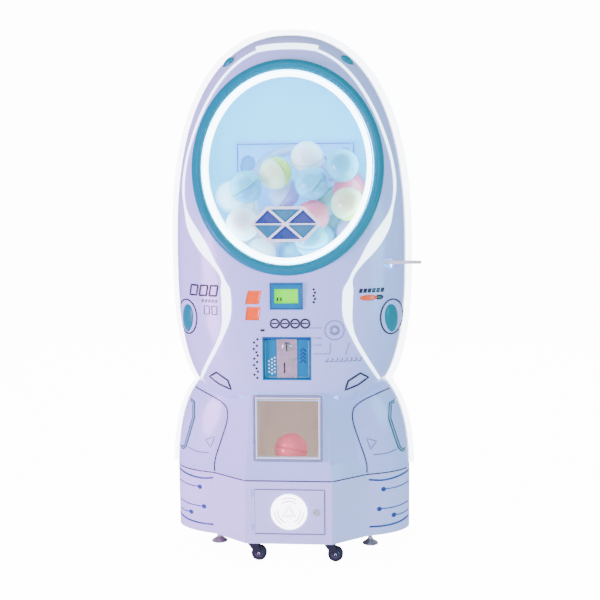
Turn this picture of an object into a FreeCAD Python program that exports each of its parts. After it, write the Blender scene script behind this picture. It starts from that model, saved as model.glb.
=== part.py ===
# Capsule toy vendor: an egg-shaped cabinet on a faceted base with two side pods.
# Millimetres, +Z up, the front faces -Y, origin on the floor under the middle of the machine.
import FreeCAD, Part
import math
import os
import re
import Sketcher
from FreeCAD import Matrix, Placement, Rotation, Vector

doc = FreeCAD.newDocument("CapsuleVendor")
sheet = doc.addObject("Spreadsheet::Sheet", "Dims")

DIMS = {
    "egg_top": (1700, "top of the egg shell"),
    "egg_bottom": (500, "lowest point of the egg, hidden behind the front bay"),
    "egg_middle": (990, "height where the egg is widest"),
    "egg_half": (378, "half width of the egg"),
    "egg_front": (214, "how far the egg stands in front of the halo plate"),
    "egg_brow": (650, "height where the front starts to lean back"),
    "egg_rear": (305, "how far the rear cover stands behind the halo plate"),
    "skin": (4, "wall of the moulded shells"),
    "halo_y": (-108, "front face of the halo plate"),
    "halo_thick": (16, "halo plate thickness"),
    "halo_rim": (20, "how far the halo plate shows past the shells"),
    "base_bottom": (75, "underside of the base"),
    "seam": (285, "top of the lower base"),
    "bevel_top": (333, "top of the bevel over the seam"),
    "bay_top": (585, "top of the front bay, inside the egg"),
    "front_y": (-322, "front facet of the base"),
    "panel_y": (-310, "front of the bay above its bevel"),
    "panel_top_y": (-300, "front of the bay at its top"),
    "facet_half": (140, "half width of the front facet"),
    "facet_end": (252, "half width where the angled facet ends"),
    "facet_end_y": (-235, "depth where the angled facet ends"),
    "pod_half": (392, "half width of the base and pods"),
    "pod_front": (154, "depth of the pod curve in front of the halo plate"),
    "pod_rear": (430, "depth of the base behind the halo plate front"),
    "pod_top": (640, "height where the pod curve would close"),
    "window_z": (1277, "centre of the window"),
    "window_half": (274, "half width of the window opening"),
    "window_rise": (305, "half height of the window opening"),
    "bezel_tube": (17, "radius of the window bezel"),
    "led_tube": (8, "radius of the light ring"),
    "chamber_back": (120, "rear wall of the capsule chamber"),
    "chamber_floor": (935, "underside of the chamber floor"),
    "liner_wall": (3, "wall of the chamber liner"),
    "sleeve_wall": (4, "wall of the sleeve behind the window"),
    "capsule_size": (110, "capsule diameter"),
    "wheel_size": (368, "dispensing wheel diameter"),
    "wheel_height": (66, "dispensing wheel thickness"),
    "pocket_size": (117, "pocket diameter"),
    "pocket_ring": (118, "distance from wheel axis to pocket axis"),
    "display_z": (876, "centre of the display"),
    "display_wide": (104, "display bezel width"),
    "display_tall": (84, "display bezel height"),
    "screen_wide": (75, "screen window width"),
    "screen_tall": (46, "screen window height"),
    "coin_z": (679, "centre of the coin panel"),
    "recess_wide": (154, "coin recess width"),
    "recess_tall": (138, "coin recess height"),
    "plate_wide": (64, "coin plate width"),
    "plate_tall": (127, "coin plate height"),
    "bin_floor": (303, "underside of the prize bin"),
    "frame_half": (113, "half width of the prize frame"),
    "frame_low": (12, "bottom of the prize frame over the bevel"),
    "frame_tall": (218, "height of the prize frame"),
    "frame_bar": (15, "width of the prize frame's bars"),
    "door_wide": (238, "service door width"),
    "door_tall": (152, "service door height"),
    "door_z": (182, "centre of the service door"),
    "door_thick": (3, "service door sheet"),
    "badge_size": (116, "badge diameter"),
    "lock_size": (19, "lock barrel diameter"),
    "foot_size": (54, "levelling foot pad diameter"),
    "foot_x": (260, "levelling foot offset sideways"),
    "foot_front_y": (-95, "front feet"),
    "foot_rear_y": (240, "rear feet"),
    "thread_size": (12, "levelling foot thread"),
    "caster_x": (125, "caster swivel axis offset"),
    "caster_front_y": (-268, "front casters"),
    "caster_rear_y": (250, "rear casters"),
    "caster_trail": (23, "distance from swivel axis to wheel axis"),
    "tread_size": (50, "caster wheel diameter"),
    "tread_wide": (21, "caster wheel width"),
    "tread_gap": (1.5, "gap under a caster wheel when the feet are down"),
    "floor_thick": (3, "base floor plate"),
    "lever_x": (306, "where the lever leaves the shell"),
    "lever_z": (975, "lever axis height"),
    "lever_y": (-236, "lever axis depth"),
    "lever_hole": (16, "radius of the hole that the lever swings in"),
    "lever_reach": (424, "end of the lever grip"),
    "rear_door_half": (170, "half width of the rear door"),
    "rear_door_low": (700, "bottom of the rear door"),
    "rear_door_tall": (640, "height of the rear door"),
}
for row, (alias, (value, note)) in enumerate(DIMS.items(), start=1):
    sheet.set("A%d" % row, str(value))
    sheet.setAlias("A%d" % row, alias)
    sheet.set("B%d" % row, note)
doc.recompute()

WORD = re.compile(r"[a-z][a-z_]+")
LEFT, RIGHT = -1, 1
UP = Vector(0, 0, 1)
AXES = {"x": Vector(1, 0, 0), "y": Vector(0, 1, 0), "z": UP}
nodes = []


def size(alias):
    """The number held by a cell of the sheet."""
    return float(sheet.get(alias))


def bind(item, prop, text):
    """Binds a property to an expression whose lower-case words are cells of the sheet."""
    item.setExpression(prop, WORD.sub(lambda word: "Dims." + word.group(0), str(text)))


def place(item, x, y, z):
    for letter, text in zip("xyz", (x, y, z)):
        bind(item, "Placement.Base." + letter, text)
    return item


def box(name, wide, deep, tall, x, y, z):
    """A box from its lowest corner x, y, z."""
    item = doc.addObject("Part::Box", name)
    for prop, text in (("Length", wide), ("Width", deep), ("Height", tall)):
        bind(item, prop, text)
    return place(item, x, y, z)


def block(name, wide, deep, tall, x, y, z):
    """A box centred on x and y, standing on z."""
    return box(name, wide, deep, tall, "%s - (%s) / 2" % (x, wide), "%s - (%s) / 2" % (y, deep), z)


def rod(name, radius, length, x, y, z, axis="z"):
    """A cylinder that starts at x, y, z and runs along an axis."""
    item = doc.addObject("Part::Cylinder", name)
    bind(item, "Radius", radius)
    bind(item, "Height", length)
    item.Placement.Rotation = Rotation(UP, AXES[axis])
    return place(item, x, y, z)


def taper(name, low, high, length, x, y, z, axis="z"):
    """A cone that starts at x, y, z and runs along an axis."""
    item = doc.addObject("Part::Cone", name)
    bind(item, "Radius1", low)
    bind(item, "Radius2", high)
    bind(item, "Height", length)
    item.Placement.Rotation = Rotation(UP, AXES[axis])
    return place(item, x, y, z)


def solid(name, shape):
    """A freely shaped piece."""
    item = doc.addObject("Part::Feature", name)
    item.Shape = shape
    return item


def fuse(name, *items):
    item = doc.addObject("Part::MultiFuse", name)
    item.Shapes = list(items)
    return item


def common(name, *items):
    item = doc.addObject("Part::MultiCommon", name)
    item.Shapes = list(items)
    return item


def cut(name, base, *tools):
    item = doc.addObject("Part::Cut", name)
    item.Base = base
    item.Tool = tools[0] if len(tools) == 1 else fuse(name + "_cutters", *tools)
    return item


def group(name, *items):
    """Separate solids that share one node."""
    item = doc.addObject("Part::Compound", name)
    item.Links = list(items)
    return item


def node(item, label):
    """Marks a finished sub-part, which is written to its own file."""
    item.Label = label
    nodes.append(item)
    return item


# ---- the egg: a half-width formula over height and a depth formula over both ----

def egg_half_width(height, inset=0.0):
    """Half width of the egg at a height: two superellipse arcs that meet where it is widest."""
    middle = size("egg_middle")
    top = size("egg_top") - inset
    bottom = size("egg_bottom") + inset
    if height >= middle:
        part, squareness = (height - middle) / (top - middle), 2.3
    else:
        part, squareness = (middle - height) / (middle - bottom), 5.0
    return (size("egg_half") - inset) * max(0.0, 1 - part ** 2.5) ** (1 / squareness)


def egg_front_depth(x, height, inset=0.0):
    """Depth of the front shell: upright at the chin, leaning back to the top, crowned sideways."""
    brow = size("egg_brow")
    top = size("egg_top") - inset
    bottom = size("egg_bottom") + inset
    if height >= brow:
        profile = max(0.0, 1 - ((height - brow) / (top - brow)) ** 1.5) ** (1 / 3)
    else:
        profile = max(0.0, 1 - ((brow - height) / (brow - bottom)) ** 3) ** (1 / 3)
    across = min(1.0, abs(x) / max(egg_half_width(height, inset), 1e-6))
    return (size("egg_front") - inset) * profile * (1 - across ** 2.8) ** (1 / 2.2)


def egg_rear_depth(x, height, inset=0.0):
    """Depth of the rear cover: a nearly flat back with generous round edges."""
    top = size("egg_top") - inset
    bottom = size("egg_bottom") + inset
    middle = (top + bottom) / 2
    profile = max(0.0, 1 - abs((height - middle) / (top - middle)) ** 5) ** (1 / 3)
    across = min(1.0, abs(x) / max(egg_half_width(height, inset), 1e-6))
    return (size("egg_rear") - inset) * profile * (1 - across ** 5) ** (1 / 3)


def closed_curve(points):
    """A smooth closed wire through points."""
    curve = Part.BSplineCurve()
    curve.interpolate(Points=points, PeriodicFlag=True)
    return Part.Wire([curve.toShape()])


def egg_outline(inset, count=56):
    """Points round the egg's outline, from the bottom, as (x, height) pairs."""
    middle = size("egg_middle")
    points = []
    for step in range(count):
        turn = 2 * math.pi * step / count - math.pi / 2
        rise = math.copysign(abs(math.sin(turn)) ** 0.8, math.sin(turn))
        reach = size("egg_top") - inset - middle if rise > 0 else middle - size("egg_bottom") - inset
        squareness = 2.3 if rise > 0 else 5.0
        width = (size("egg_half") - inset) * abs(math.cos(turn)) ** (2 / squareness)
        points.append((math.copysign(width, math.cos(turn)), middle + reach * rise))
    return points


def egg_solid(depth, plane_y, way, inset=0.0):
    """A solid between the plane y = plane_y and the surface that depth gives on side way."""
    hub = size("window_z")
    turns = [math.radians(angle) for angle in (0, 5, 10, 16, 22, 29, 36, 44, 52, 60, 68, 76, 83, 87)]
    rings = [math.cos(turn) ** 0.714 for turn in turns]
    tilt = (depth(0, hub + 20, inset) - depth(0, hub - 20, inset)) / 40
    wires = []
    for ring in rings:
        row = []
        for x, height in egg_outline(inset):
            across, up = x * ring, hub + (height - hub) * ring
            if ring == rings[0]:
                far = 0.0
            elif ring == rings[-1]:
                far = depth(0, hub, inset) + tilt * (up - hub)
            else:
                far = depth(across, up, inset)
            row.append(Vector(across, plane_y + way * far, up))
        wires.append(closed_curve(row))
    skin = Part.makeLoft(wires, False, False)
    shape = Part.makeSolid(Part.makeShell(skin.Faces + [Part.Face(wires[0]), Part.Face(wires[-1])]))
    if shape.Volume < 0:
        shape.reverse()
    return shape


def egg_slab(inset, y_low, y_high):
    """The egg outline as a slab between two planes."""
    points = [Vector(x, y_low, height) for x, height in egg_outline(inset)]
    face = Part.Face(closed_curve(points))
    return face.extrude(Vector(0, y_high - y_low, 0))


made = {}


def front_solid(inset):
    """The front of the egg, inset from its outside. Each one is made once."""
    if inset not in made:
        made[inset] = egg_solid(egg_front_depth, size("halo_y"), -1, inset)
    return made[inset]


def rear_solid(inset):
    return egg_solid(egg_rear_depth, size("halo_y") + size("halo_thick"), 1, inset)


def on_front(x, height, lift=0.0):
    """A point over the front of the egg, lift millimetres proud of it."""
    return Vector(x, size("halo_y") - egg_front_depth(x, height) - lift, height)


# ---- pods and base: one plan curve, scaled with height ----

def plan_wire(height, scale, inset=0.0, count=64):
    """Closed plan curve of the base: crowned front half and squarer rear half."""
    half = size("pod_half") * scale - inset
    points = []
    for step in range(count):
        turn = 2 * math.pi * step / count
        side, along = math.cos(turn), math.sin(turn)
        if along < 0:
            x, y = abs(side) ** (2 / 2.6), -(size("pod_front") * scale - inset) * abs(along)
        else:
            x, y = abs(side) ** 0.4, (size("pod_rear") * scale - inset) * abs(along) ** 0.4
        points.append(Vector(math.copysign(half * x, side), size("halo_y") + y, height))
    return closed_curve(points)


def pod_scale(height):
    return (1 - ((height - size("seam")) / (size("pod_top") - size("seam"))) ** 2) ** 0.2


def pod_hull(inset):
    """The pods before the bay and the egg are taken out of them."""
    low, count = size("seam"), 9
    high = size("bay_top") + 30
    heights = [low + (high - low) * math.sin(math.pi / 2 * step / (count - 1)) for step in range(count)]
    wires = [plan_wire(height, pod_scale(height), inset) for height in heights]
    return Part.makeLoft(wires, True)


def bay_wire(height, facet, end, front, back, inset):
    """Faceted plan of the front bay, open to the halo plate."""
    rear = size("halo_y")
    corners = [(-end, rear), (-end, back), (-facet, front), (facet, front), (end, back), (end, rear)]
    wire = Part.makePolygon([Vector(x, y, height) for x, y in corners + corners[:1]])
    return wire.makeOffset2D(-inset) if inset else wire


def bay_hull(inset=0.0):
    facet, end = size("facet_half"), size("facet_end")
    front, back = size("front_y"), size("facet_end_y")
    set_back = size("panel_y") - front
    levels = (
        (size("seam"), facet, end, front, back),
        (size("bevel_top"), facet - 6, end - 8, size("panel_y"), back + set_back * 0.8),
        (size("bay_top"), facet - 20, end - 46, size("panel_top_y"), back + 22),
    )
    wires = [bay_wire(height, *sizes, inset) for height, *sizes in levels]
    lower = Part.makeLoft(wires[:2], True, True)
    upper = Part.makeLoft(wires[1:], True, True)
    return lower.fuse(upper).removeSplitter()


def base_prism(low, high, inset=0.0):
    """The lower base between two heights: rounded plan curve joined to the faceted front."""
    round_part = Part.Face(plan_wire(low, 1.0, inset)).extrude(Vector(0, 0, high - low))
    wire = bay_wire(low, size("facet_half"), size("facet_end"), size("front_y"), size("facet_end_y"), inset)
    return round_part.fuse(Part.Face(wire).extrude(Vector(0, 0, high - low))).removeSplitter()


def elliptic_ring(half, rise, wall, y_low, y_high):
    """An upright elliptic tube along Y round the window, from its inner half sizes and wall."""
    middle = Vector(0, y_low, size("window_z"))
    faces = []
    for extra in (wall, 0):
        curve = Part.Ellipse(middle + UP * (rise + extra), middle + AXES["x"] * (half + extra), middle)
        faces.append(Part.Face(Part.Wire([curve.toShape()])))
    return faces[0].cut(faces[1]).extrude(Vector(0, y_high - y_low, 0))


# whole shapes that several pieces are trimmed with
halo_back = size("halo_y") + size("halo_thick")
sleeve_back = size("halo_y") + 1.7
BIN_TALL = "(bevel_top + frame_low + frame_tall - frame_bar + 4 - bin_floor)"
egg_full = solid("egg_full", front_solid(0))
bay_full = solid("bay_full", bay_hull())


def ellipse_column(name, half, rise, y_low, y_high, narrow=0.0):
    """An upright elliptic column along Y over the window, narrower by narrow at its rear end."""
    wires = []
    for y, shrink in ((y_low, 0.0), (y_high, narrow)):
        curve = Part.Ellipse(Vector(0, y, size("window_z") + rise - shrink),
                             Vector(half - shrink, y, size("window_z")), Vector(0, y, size("window_z")))
        wires.append(Part.Wire([curve.toShape()]))
    return solid(name, Part.makeLoft(wires, True))


# ---- shells ----

def make_egg_shell():
    shell = front_solid(0).cut(front_solid(size("skin")))
    whole = solid("egg_wall", shell)
    window = ellipse_column("egg_window_cut", size("window_half"), size("window_rise"), -400, -109)
    display = block("egg_display_cut", "display_wide", 120, "display_tall", 0, -300,
                    "display_z - display_tall / 2")
    coin = block("egg_coin_cut", "recess_wide", 120, "recess_tall", 0, -300, "coin_z - recess_tall / 2")
    lever = rod("egg_lever_cut", "lever_hole", 120, "lever_x - 60", "lever_y", "lever_z - 4", "x")
    bay = box("egg_bay_cut", "2 * frame_half + 1", 260, 203, "-frame_half - 0.5", -368, 362)
    ducts = box("egg_duct_cut", 320, 185, 110, -160, -285, 470)
    node(cut("egg_shell", whole, window, display, coin, lever, bay, ducts), "egg_front_shell")


def make_rear_cover():
    whole = solid("rear_wall", rear_solid(2).cut(rear_solid(2 + size("skin"))))
    low = box("rear_low_cut", 900, 500, 100, -450, "halo_y + halo_thick - 1", 475)
    door = box("rear_door_cut", "2 * rear_door_half - 24", 120, "rear_door_tall - 24",
               "12 - rear_door_half", 150, "rear_door_low + 12")
    node(cut("rear_cover_part", whole, low, door), "rear_cover")


def make_rear_cabinet():
    low, high, count = size("seam"), size("pod_top") - 12, 8
    heights = [low + (high - low) * math.sin(math.pi / 2 * step / (count - 1)) for step in range(count)]
    skin = size("skin")
    full = Part.makeLoft([plan_wire(height, pod_scale(height)) for height in heights], True)
    hollow = Part.makeLoft([plan_wire(height - (skin if height > low else 0), pod_scale(height), skin)
                            for height in heights], True)
    solid("cabinet_full", full)
    keep = box("cabinet_rear_half", 900, 500, 400, -450, "halo_y + halo_thick", 250)
    inlet = block("cabinet_inlet_cut", 48, 120, 28, 200, 300, 346)
    cover = solid("cabinet_cover_cut", rear_solid(2))
    walls = common("cabinet_walls", solid("cabinet_ring", full.cut(hollow)), keep)
    node(cut("cabinet_part", walls, inlet, cover), "rear_cabinet")


def make_pods():
    hull = pod_hull(0).cut(pod_hull(size("skin")))
    ahead = Part.makeBox(900, 300, 400, Vector(-450, size("halo_y") - 300, 280))
    walls = solid("pod_walls", hull.common(ahead))
    for side, label in ((LEFT, "pod_shell_left"), (RIGHT, "pod_shell_right")):
        half = box(label + "_half", 500, 300, 400, -500 if side == LEFT else 0, "halo_y - 300", 280)
        piece = common(label + "_side", walls, half)
        node(cut(label + "_part", piece, bay_full, egg_full), label)


def make_front_bay():
    wall = solid("bay_wall", bay_hull().cut(bay_hull(size("skin"))))
    opening = box("bay_prize_cut", "2 * (frame_half - frame_bar) + 4", 200,
                  "frame_tall - 2 * frame_bar + 11", "-(frame_half - frame_bar) - 2", -360,
                  "bevel_top + frame_low + frame_bar - 2")
    bin_way = box("bay_bin_cut", "2 * (frame_half - frame_bar) + 16", 30, "%s + 2" % BIN_TALL,
                  "-(frame_half - frame_bar) - 8", "halo_y - 15", "bin_floor - 1")
    floor_hole = box("bay_floor_cut", 340, 135, 30, -170, -270, 275)
    node(cut("bay_part", wall, opening, bin_way, floor_hole, egg_full), "front_bay_shell")


def make_halo_plate():
    outline = egg_slab(-size("halo_rim"), size("halo_y"), halo_back)
    steps = 14
    low, high = size("seam") + 4, 600
    side = []
    for step in range(steps + 1):
        height = low + (high - low) * step / steps
        side.append((size("pod_half") * pod_scale(height) + size("halo_rim") - 4, height))
    corners = [Vector(x, size("halo_y"), z) for x, z in side]
    corners += [Vector(-x, size("halo_y"), z) for x, z in reversed(side)]
    skirt = Part.Face(Part.makePolygon(corners + corners[:1])).extrude(Vector(0, size("halo_thick"), 0))
    whole = outline.common(Part.makeBox(900, 60, 1400, Vector(-450, size("halo_y") - 20, 540))).fuse(skirt)
    upper = egg_slab(50, size("halo_y") - 5, halo_back + 5)
    lower = box("halo_low_cut", 420, 40, 344, -210, "halo_y - 10", 296)
    node(cut("halo_part", solid("halo_whole", whole), solid("halo_up_cut", upper), lower), "halo_plate")


def make_base():
    low, high = size("base_bottom"), size("seam")
    skin = size("skin")
    shell = base_prism(low, high).cut(base_prism(low - 10, high - skin, skin))
    door = block("base_door_cut", "door_wide + 1", 60, "door_tall + 1", 0, "front_y",
                 "door_z - door_tall / 2 - 0.5")
    ducts = box("base_duct_cut", 340, 135, 30, -170, -270, 275)
    node(cut("base_part", solid("base_wall", shell), door, ducts), "base_shell")
    plate = base_prism(low, low + size("floor_thick"), skin + 0.2)
    node(solid("floor_part", plate), "base_floor")


# ---- capsule chamber and window ----

def make_chamber():
    back, floor = size("chamber_back"), size("chamber_floor")
    wall = size("liner_wall")
    outer = egg_slab(66, size("halo_y") + 2, back)
    inner = egg_slab(66 + wall, size("halo_y") - 2, back - wall)
    tall = Part.makeBox(900, 600, 900, Vector(-450, -300, floor))
    inside = Part.makeBox(900, 600, 900, Vector(-450, -300, floor + wall))
    walls = solid("liner_walls", outer.common(tall).cut(inner.common(inside)))
    hole = rod("liner_wheel_cut", "wheel_size / 2 + 3", 30, 0, 0, "chamber_floor - 10")
    node(cut("liner_part", walls, hole), "chamber_liner")
    panel = box("panel_block", 430, 12, 436, -215, "chamber_back - liner_wall - 12.3",
                "chamber_floor + liner_wall + 0.3")
    groove = box("panel_recess", 400, 4, 421, -200, "chamber_back - liner_wall - 14", "chamber_floor")
    node(cut("panel_part", panel, groove), "back_panel")
    ring = elliptic_ring(size("window_half") - 2, size("window_rise") - 2, size("sleeve_wall"), -400,
                         sleeve_back)
    node(solid("sleeve_part", ring.common(front_solid(size("skin") + 5.2))), "window_sleeve")


def window_path(half, rise, sink, count=36):
    """Closed curve over the window on the front of the egg, sink millimetres under its surface."""
    points = []
    for step in range(count):
        turn = 2 * math.pi * step / count
        x, height = half * math.cos(turn), size("window_z") + rise * math.sin(turn)
        points.append(on_front(x, height, -sink))
    return closed_curve(points)


def ring_tube(path, radius, count=36):
    """A round tube along a closed path."""
    edge = path.Edges[0]
    low, high = edge.ParameterRange
    rings = []
    for step in range(count):
        value = low + (high - low) * step / count
        along = edge.tangentAt(value)
        side = along.cross(AXES["y"]).normalize()
        rise = side.cross(along).normalize()
        centre = edge.valueAt(value)
        points = []
        for corner in range(12):
            turn = 2 * math.pi * corner / 12
            points.append(centre + side * (radius * math.cos(turn)) + rise * (radius * math.sin(turn)))
        rings.append(closed_curve(points))
    return Part.makeLoft(rings, True, False, True)


def make_window():
    tube = size("bezel_tube")
    bezel = ring_tube(window_path(size("window_half") + tube - 2, size("window_rise") + tube - 2, 0), tube)
    node(cut("bezel_part", solid("bezel_tube_whole", bezel), egg_full), "window_bezel")
    sink = size("skin") + 0.3
    pane = front_solid(sink).cut(front_solid(sink + 4))
    column = ellipse_column("pane_column", size("window_half") + 5, size("window_rise") + 5, -400, -110)
    node(common("pane_part", solid("pane_wall", pane), column), "window_pane")
    led = size("led_tube")
    path = window_path(size("window_half") - 14, size("window_rise") - 14, sink + 4 + led + 1.5)
    node(solid("led_part", ring_tube(path, led)), "light_ring")


def capsule_rest(x, y, placed):
    """Where a capsule dropped at x, y comes to rest on the others, the floor or the window sleeve."""
    radius = size("capsule_size") / 2 - 0.5
    height = size("chamber_floor") + size("liner_wall") + 0.5 + radius
    if y - radius < sleeve_back + 1:
        half, rise = size("window_half") - radius - 3, size("window_rise") - radius - 3
        if abs(x) >= half:
            return None
        height = size("window_z") - rise * math.sqrt(1 - (x / half) ** 2)
    for other in placed:
        gap = math.hypot(x - other.x, y - other.y)
        reach = 2 * radius + 0.5
        if gap < reach:
            height = max(height, other.z + math.sqrt(reach ** 2 - gap ** 2))
    front = size("halo_y") - egg_front_depth(x, height) + radius + 30
    return Vector(x, y, height) if y > front else None


# x and height of the capsules that show through the window, the lowest ones first
LOW_CAPSULES = ((-110, 1002), (74, 1020))
SEEN_CAPSULES = ((190, 1069), (-148, 1095), (74, 1117), (115, 1137), (191, 1142), (-205, 1152), (-31, 1194),
                 (188, 1205), (-144, 1211), (72, 1223), (-50, 1260), (171, 1281), (53, 1311))


def make_capsules():
    """Capsules dropped one by one, a hidden bed of them from a fixed sequence of places."""
    back = size("chamber_back") - size("liner_wall") - 13 - size("capsule_size") / 2
    deepest, step, bed = -215, 5, 10
    depths = [deepest + step * index for index in range(int((back - deepest) / step))]
    placed = []

    def drop_near(x, wanted):
        spots = [capsule_rest(x, y, placed) for y in depths]
        spots = [spot for spot in spots if spot is not None]
        placed.append(min(spots, key=lambda spot: abs(spot.z - wanted)))

    for x, wanted in LOW_CAPSULES:
        drop_near(x, wanted)
    for number in range(bed):
        best = None
        for trial in range(90):
            along = (0.5 + (trial + 90 * number) * 0.7548776662) % 1.0
            deep = (0.5 + (trial + 90 * number) * 0.5698402910) % 1.0
            spot = capsule_rest((along * 2 - 1) * 205, -45 + deep * (back + 45), placed)
            if spot is not None and (best is None or spot.z < best.z):
                best = spot
        placed.append(best)
    for x, wanted in SEEN_CAPSULES:
        drop_near(x, wanted)
    balls = []
    for number, centre in enumerate(placed, start=1):
        ball = doc.addObject("Part::Sphere", "capsule_%d" % number)
        bind(ball, "Radius", "capsule_size / 2 - 0.5")
        ball.Placement.Base = centre
        balls.append(ball)
    node(group("capsule_pile", *balls), "capsules_in_chamber")


# ---- dispensing: wheel, housing, motor, chute, bin and flap ----

def make_dispenser():
    floor = size("chamber_floor")
    body = doc.addObject("PartDesign::Body", "wheel_body")
    plane = [item for item in body.Origin.OriginFeatures if item.Role == "XY_Plane"][0]

    def circle_sketch(name, x, y, diameter):
        sketch = body.newObject("Sketcher::SketchObject", name)
        sketch.AttachmentSupport = [(plane, "")]
        sketch.MapMode = "FlatFace"
        sketch.addGeometry(Part.Circle(Vector(x, y, 0), UP, 50), False)
        sketch.addConstraint(Sketcher.Constraint("Diameter", 0, 100))
        sketch.setExpression("Constraints[0]", diameter)
        return sketch

    pad = body.newObject("PartDesign::Pad", "wheel_pad")
    pad.Profile = circle_sketch("wheel_outline", 0, 0, "Dims.wheel_size")
    pad.setExpression("Length", "Dims.wheel_height")
    doc.recompute()
    pocket = body.newObject("PartDesign::Pocket", "wheel_pocket")
    pocket.Profile = circle_sketch("pocket_outline", 0, size("pocket_ring"), "Dims.pocket_size")
    pocket.Type = "ThroughAll"
    pocket.Midplane = True
    doc.recompute()
    pattern = body.newObject("PartDesign::PolarPattern", "wheel_pockets")
    pattern.Originals = [pocket]
    pattern.Axis = ([item for item in body.Origin.OriginFeatures if item.Role == "Z_Axis"][0], [""])
    pattern.Angle = 360
    pattern.Occurrences = 5
    body.Tip = pattern
    doc.recompute()
    body.Placement.Base = Vector(0, 0, floor - 5 - size("wheel_height"))
    shaft = rod("wheel_shaft", 8, 60, 0, 0, "chamber_floor - wheel_height - 64")
    node(fuse("wheel_part", body, shaft), "dispensing_wheel")
    below = "chamber_floor - wheel_height"
    cup = rod("housing_outer", "wheel_size / 2 + 6", "wheel_height + 12", 0, 0, below + " - 12.3")
    hollow = rod("housing_inner", "wheel_size / 2 + 3", "wheel_height + 20", 0, 0, below + " - 8.3")
    drop = rod("housing_drop", "pocket_size / 2 + 1", 40, 0, "-pocket_ring", below + " - 30")
    centre = rod("housing_centre", 10, 40, 0, 0, below + " - 30")
    node(cut("housing_part", cup, hollow, drop, centre), "wheel_housing")
    top = below + " - 12.6"
    plate = block("motor_plate", 90, 90, 4, 0, 0, top + " - 4")
    gearbox = rod("motor_gearbox", 36, 40, 0, 0, top + " - 44")
    can = rod("motor_can", 27, 70, 0, 0, top + " - 114")
    bore = rod("motor_bore", 8.05, 60, 0, 0, below + " - 65")
    node(cut("motor_part", fuse("motor_whole", plate, gearbox, can), bore), "gear_motor")
    pipe = rod("chute_outer", "pocket_size / 2 + 6", top + " - 562", 0, "-pocket_ring - 8", 562)
    inside = rod("chute_inner", "pocket_size / 2 + 3", 400, 0, "-pocket_ring - 8", 520)
    clear = rod("chute_motor_clear", 40, 400, 0, 0, 520)
    node(cut("chute_part", pipe, inside, clear), "capsule_chute")


def make_prize_bay():
    outer = box("bin_outer", "2 * (frame_half - frame_bar) + 14", 251, BIN_TALL,
                "-(frame_half - frame_bar) - 7", -297, "bin_floor")
    inner = box("bin_inner", "2 * (frame_half - frame_bar) + 8", 245, "%s - 6" % BIN_TALL,
                "-(frame_half - frame_bar) - 4", -294, "bin_floor + 3")
    open_front = box("bin_front_cut", "2 * (frame_half - frame_bar) + 8", 20, "frame_tall - 2 * frame_bar",
                     "-(frame_half - frame_bar) - 4", -300, "bevel_top + frame_low + frame_bar - 2")
    mouth = rod("bin_mouth", "pocket_size / 2 + 3", 60, 0, "-pocket_ring - 8", 530)
    node(cut("bin_part", outer, inner, open_front, mouth), "prize_bin")
    lean = -math.degrees(math.atan2(size("panel_top_y") - size("panel_y"), size("bay_top") - size("bevel_top")))
    base = Vector(0, size("panel_y"), size("bevel_top") + size("frame_low"))
    tilt = Placement(base, Rotation(AXES["x"], lean))
    half, thick, tall = size("frame_half"), size("frame_bar"), size("frame_tall")
    hinge_y, hinge_z = -5, tall - thick - 5.5

    def tilted(item, x, y, z):
        for letter in "xyz":
            item.setExpression("Placement.Base." + letter, None)
        item.Placement = tilt.multiply(Placement(Vector(x, y, z), item.Placement.Rotation))
        return item

    def bar(name, wide, deep, high, x, y, z):
        return tilted(box(name, wide, deep, high, 0, 0, 0), x, y, z)

    def pin_rod(name, radius, length, x):
        return tilted(rod(name, radius, length, 0, 0, 0, "x"), x, hinge_y, hinge_z)

    rim = bar("frame_rim", "2 * frame_half", 12, "frame_tall", -half, -12.3, 0)
    hole = bar("frame_hole", "2 * (frame_half - frame_bar)", 60, "frame_tall - 2 * frame_bar",
               thick - half, -30, thick)
    pins = pin_rod("frame_pin_cut", 2, "2 * (frame_half - frame_bar) + 20", thick - half - 10)
    frame = cut("frame_bored", rim, hole, pins)
    pin = pin_rod("flap_pin_rod", 2, "2 * (frame_half - frame_bar) + 20", thick - half - 10)
    node(group("frame_part", frame, pin), "prize_frame")
    flap = bar("flap_sheet", "2 * (frame_half - frame_bar) - 3", 4, hinge_z - thick - 2,
               thick - half + 1.5, hinge_y - 2, thick + 2)
    barrel = pin_rod("flap_knuckle", 4, "2 * (frame_half - frame_bar) - 3", thick - half + 1.5)
    bore = pin_rod("flap_bore", 2.05, "2 * frame_half", -half)
    node(cut("flap_part", fuse("flap_whole", flap, barrel), bore), "prize_flap")
    ball = doc.addObject("Part::Sphere", "prize_ball")
    bind(ball, "Radius", "capsule_size / 2 - 0.5")
    place(ball, 2, -228, "bin_floor + 3 + capsule_size / 2")
    node(ball, "prize_capsule")


# ---- display, coin panel, lever ----

def make_display():
    front, gap = -322, 0.3
    whole = block("display_block", "display_wide - 0.6", 18, "display_tall - 0.6", 0, front + 9,
                  "display_z - display_tall / 2 + 0.3")
    opening = block("display_opening", "screen_wide", 60, "screen_tall", 0, -310, "display_z - screen_tall / 2")
    seat = block("display_seat", "screen_wide + 12", 20, "screen_tall + 12", 0, -298,
                 "display_z - screen_tall / 2 - 6")
    node(cut("display_part", whole, opening, seat), "display_bezel")
    screen = block("screen_part", "screen_wide + 12 - %g" % (2 * gap), 7, "screen_tall + 12 - %g" % (2 * gap),
                   0, -304.2, "display_z - screen_tall / 2 - 6 + %g" % gap)
    node(screen, "display_screen")


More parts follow.
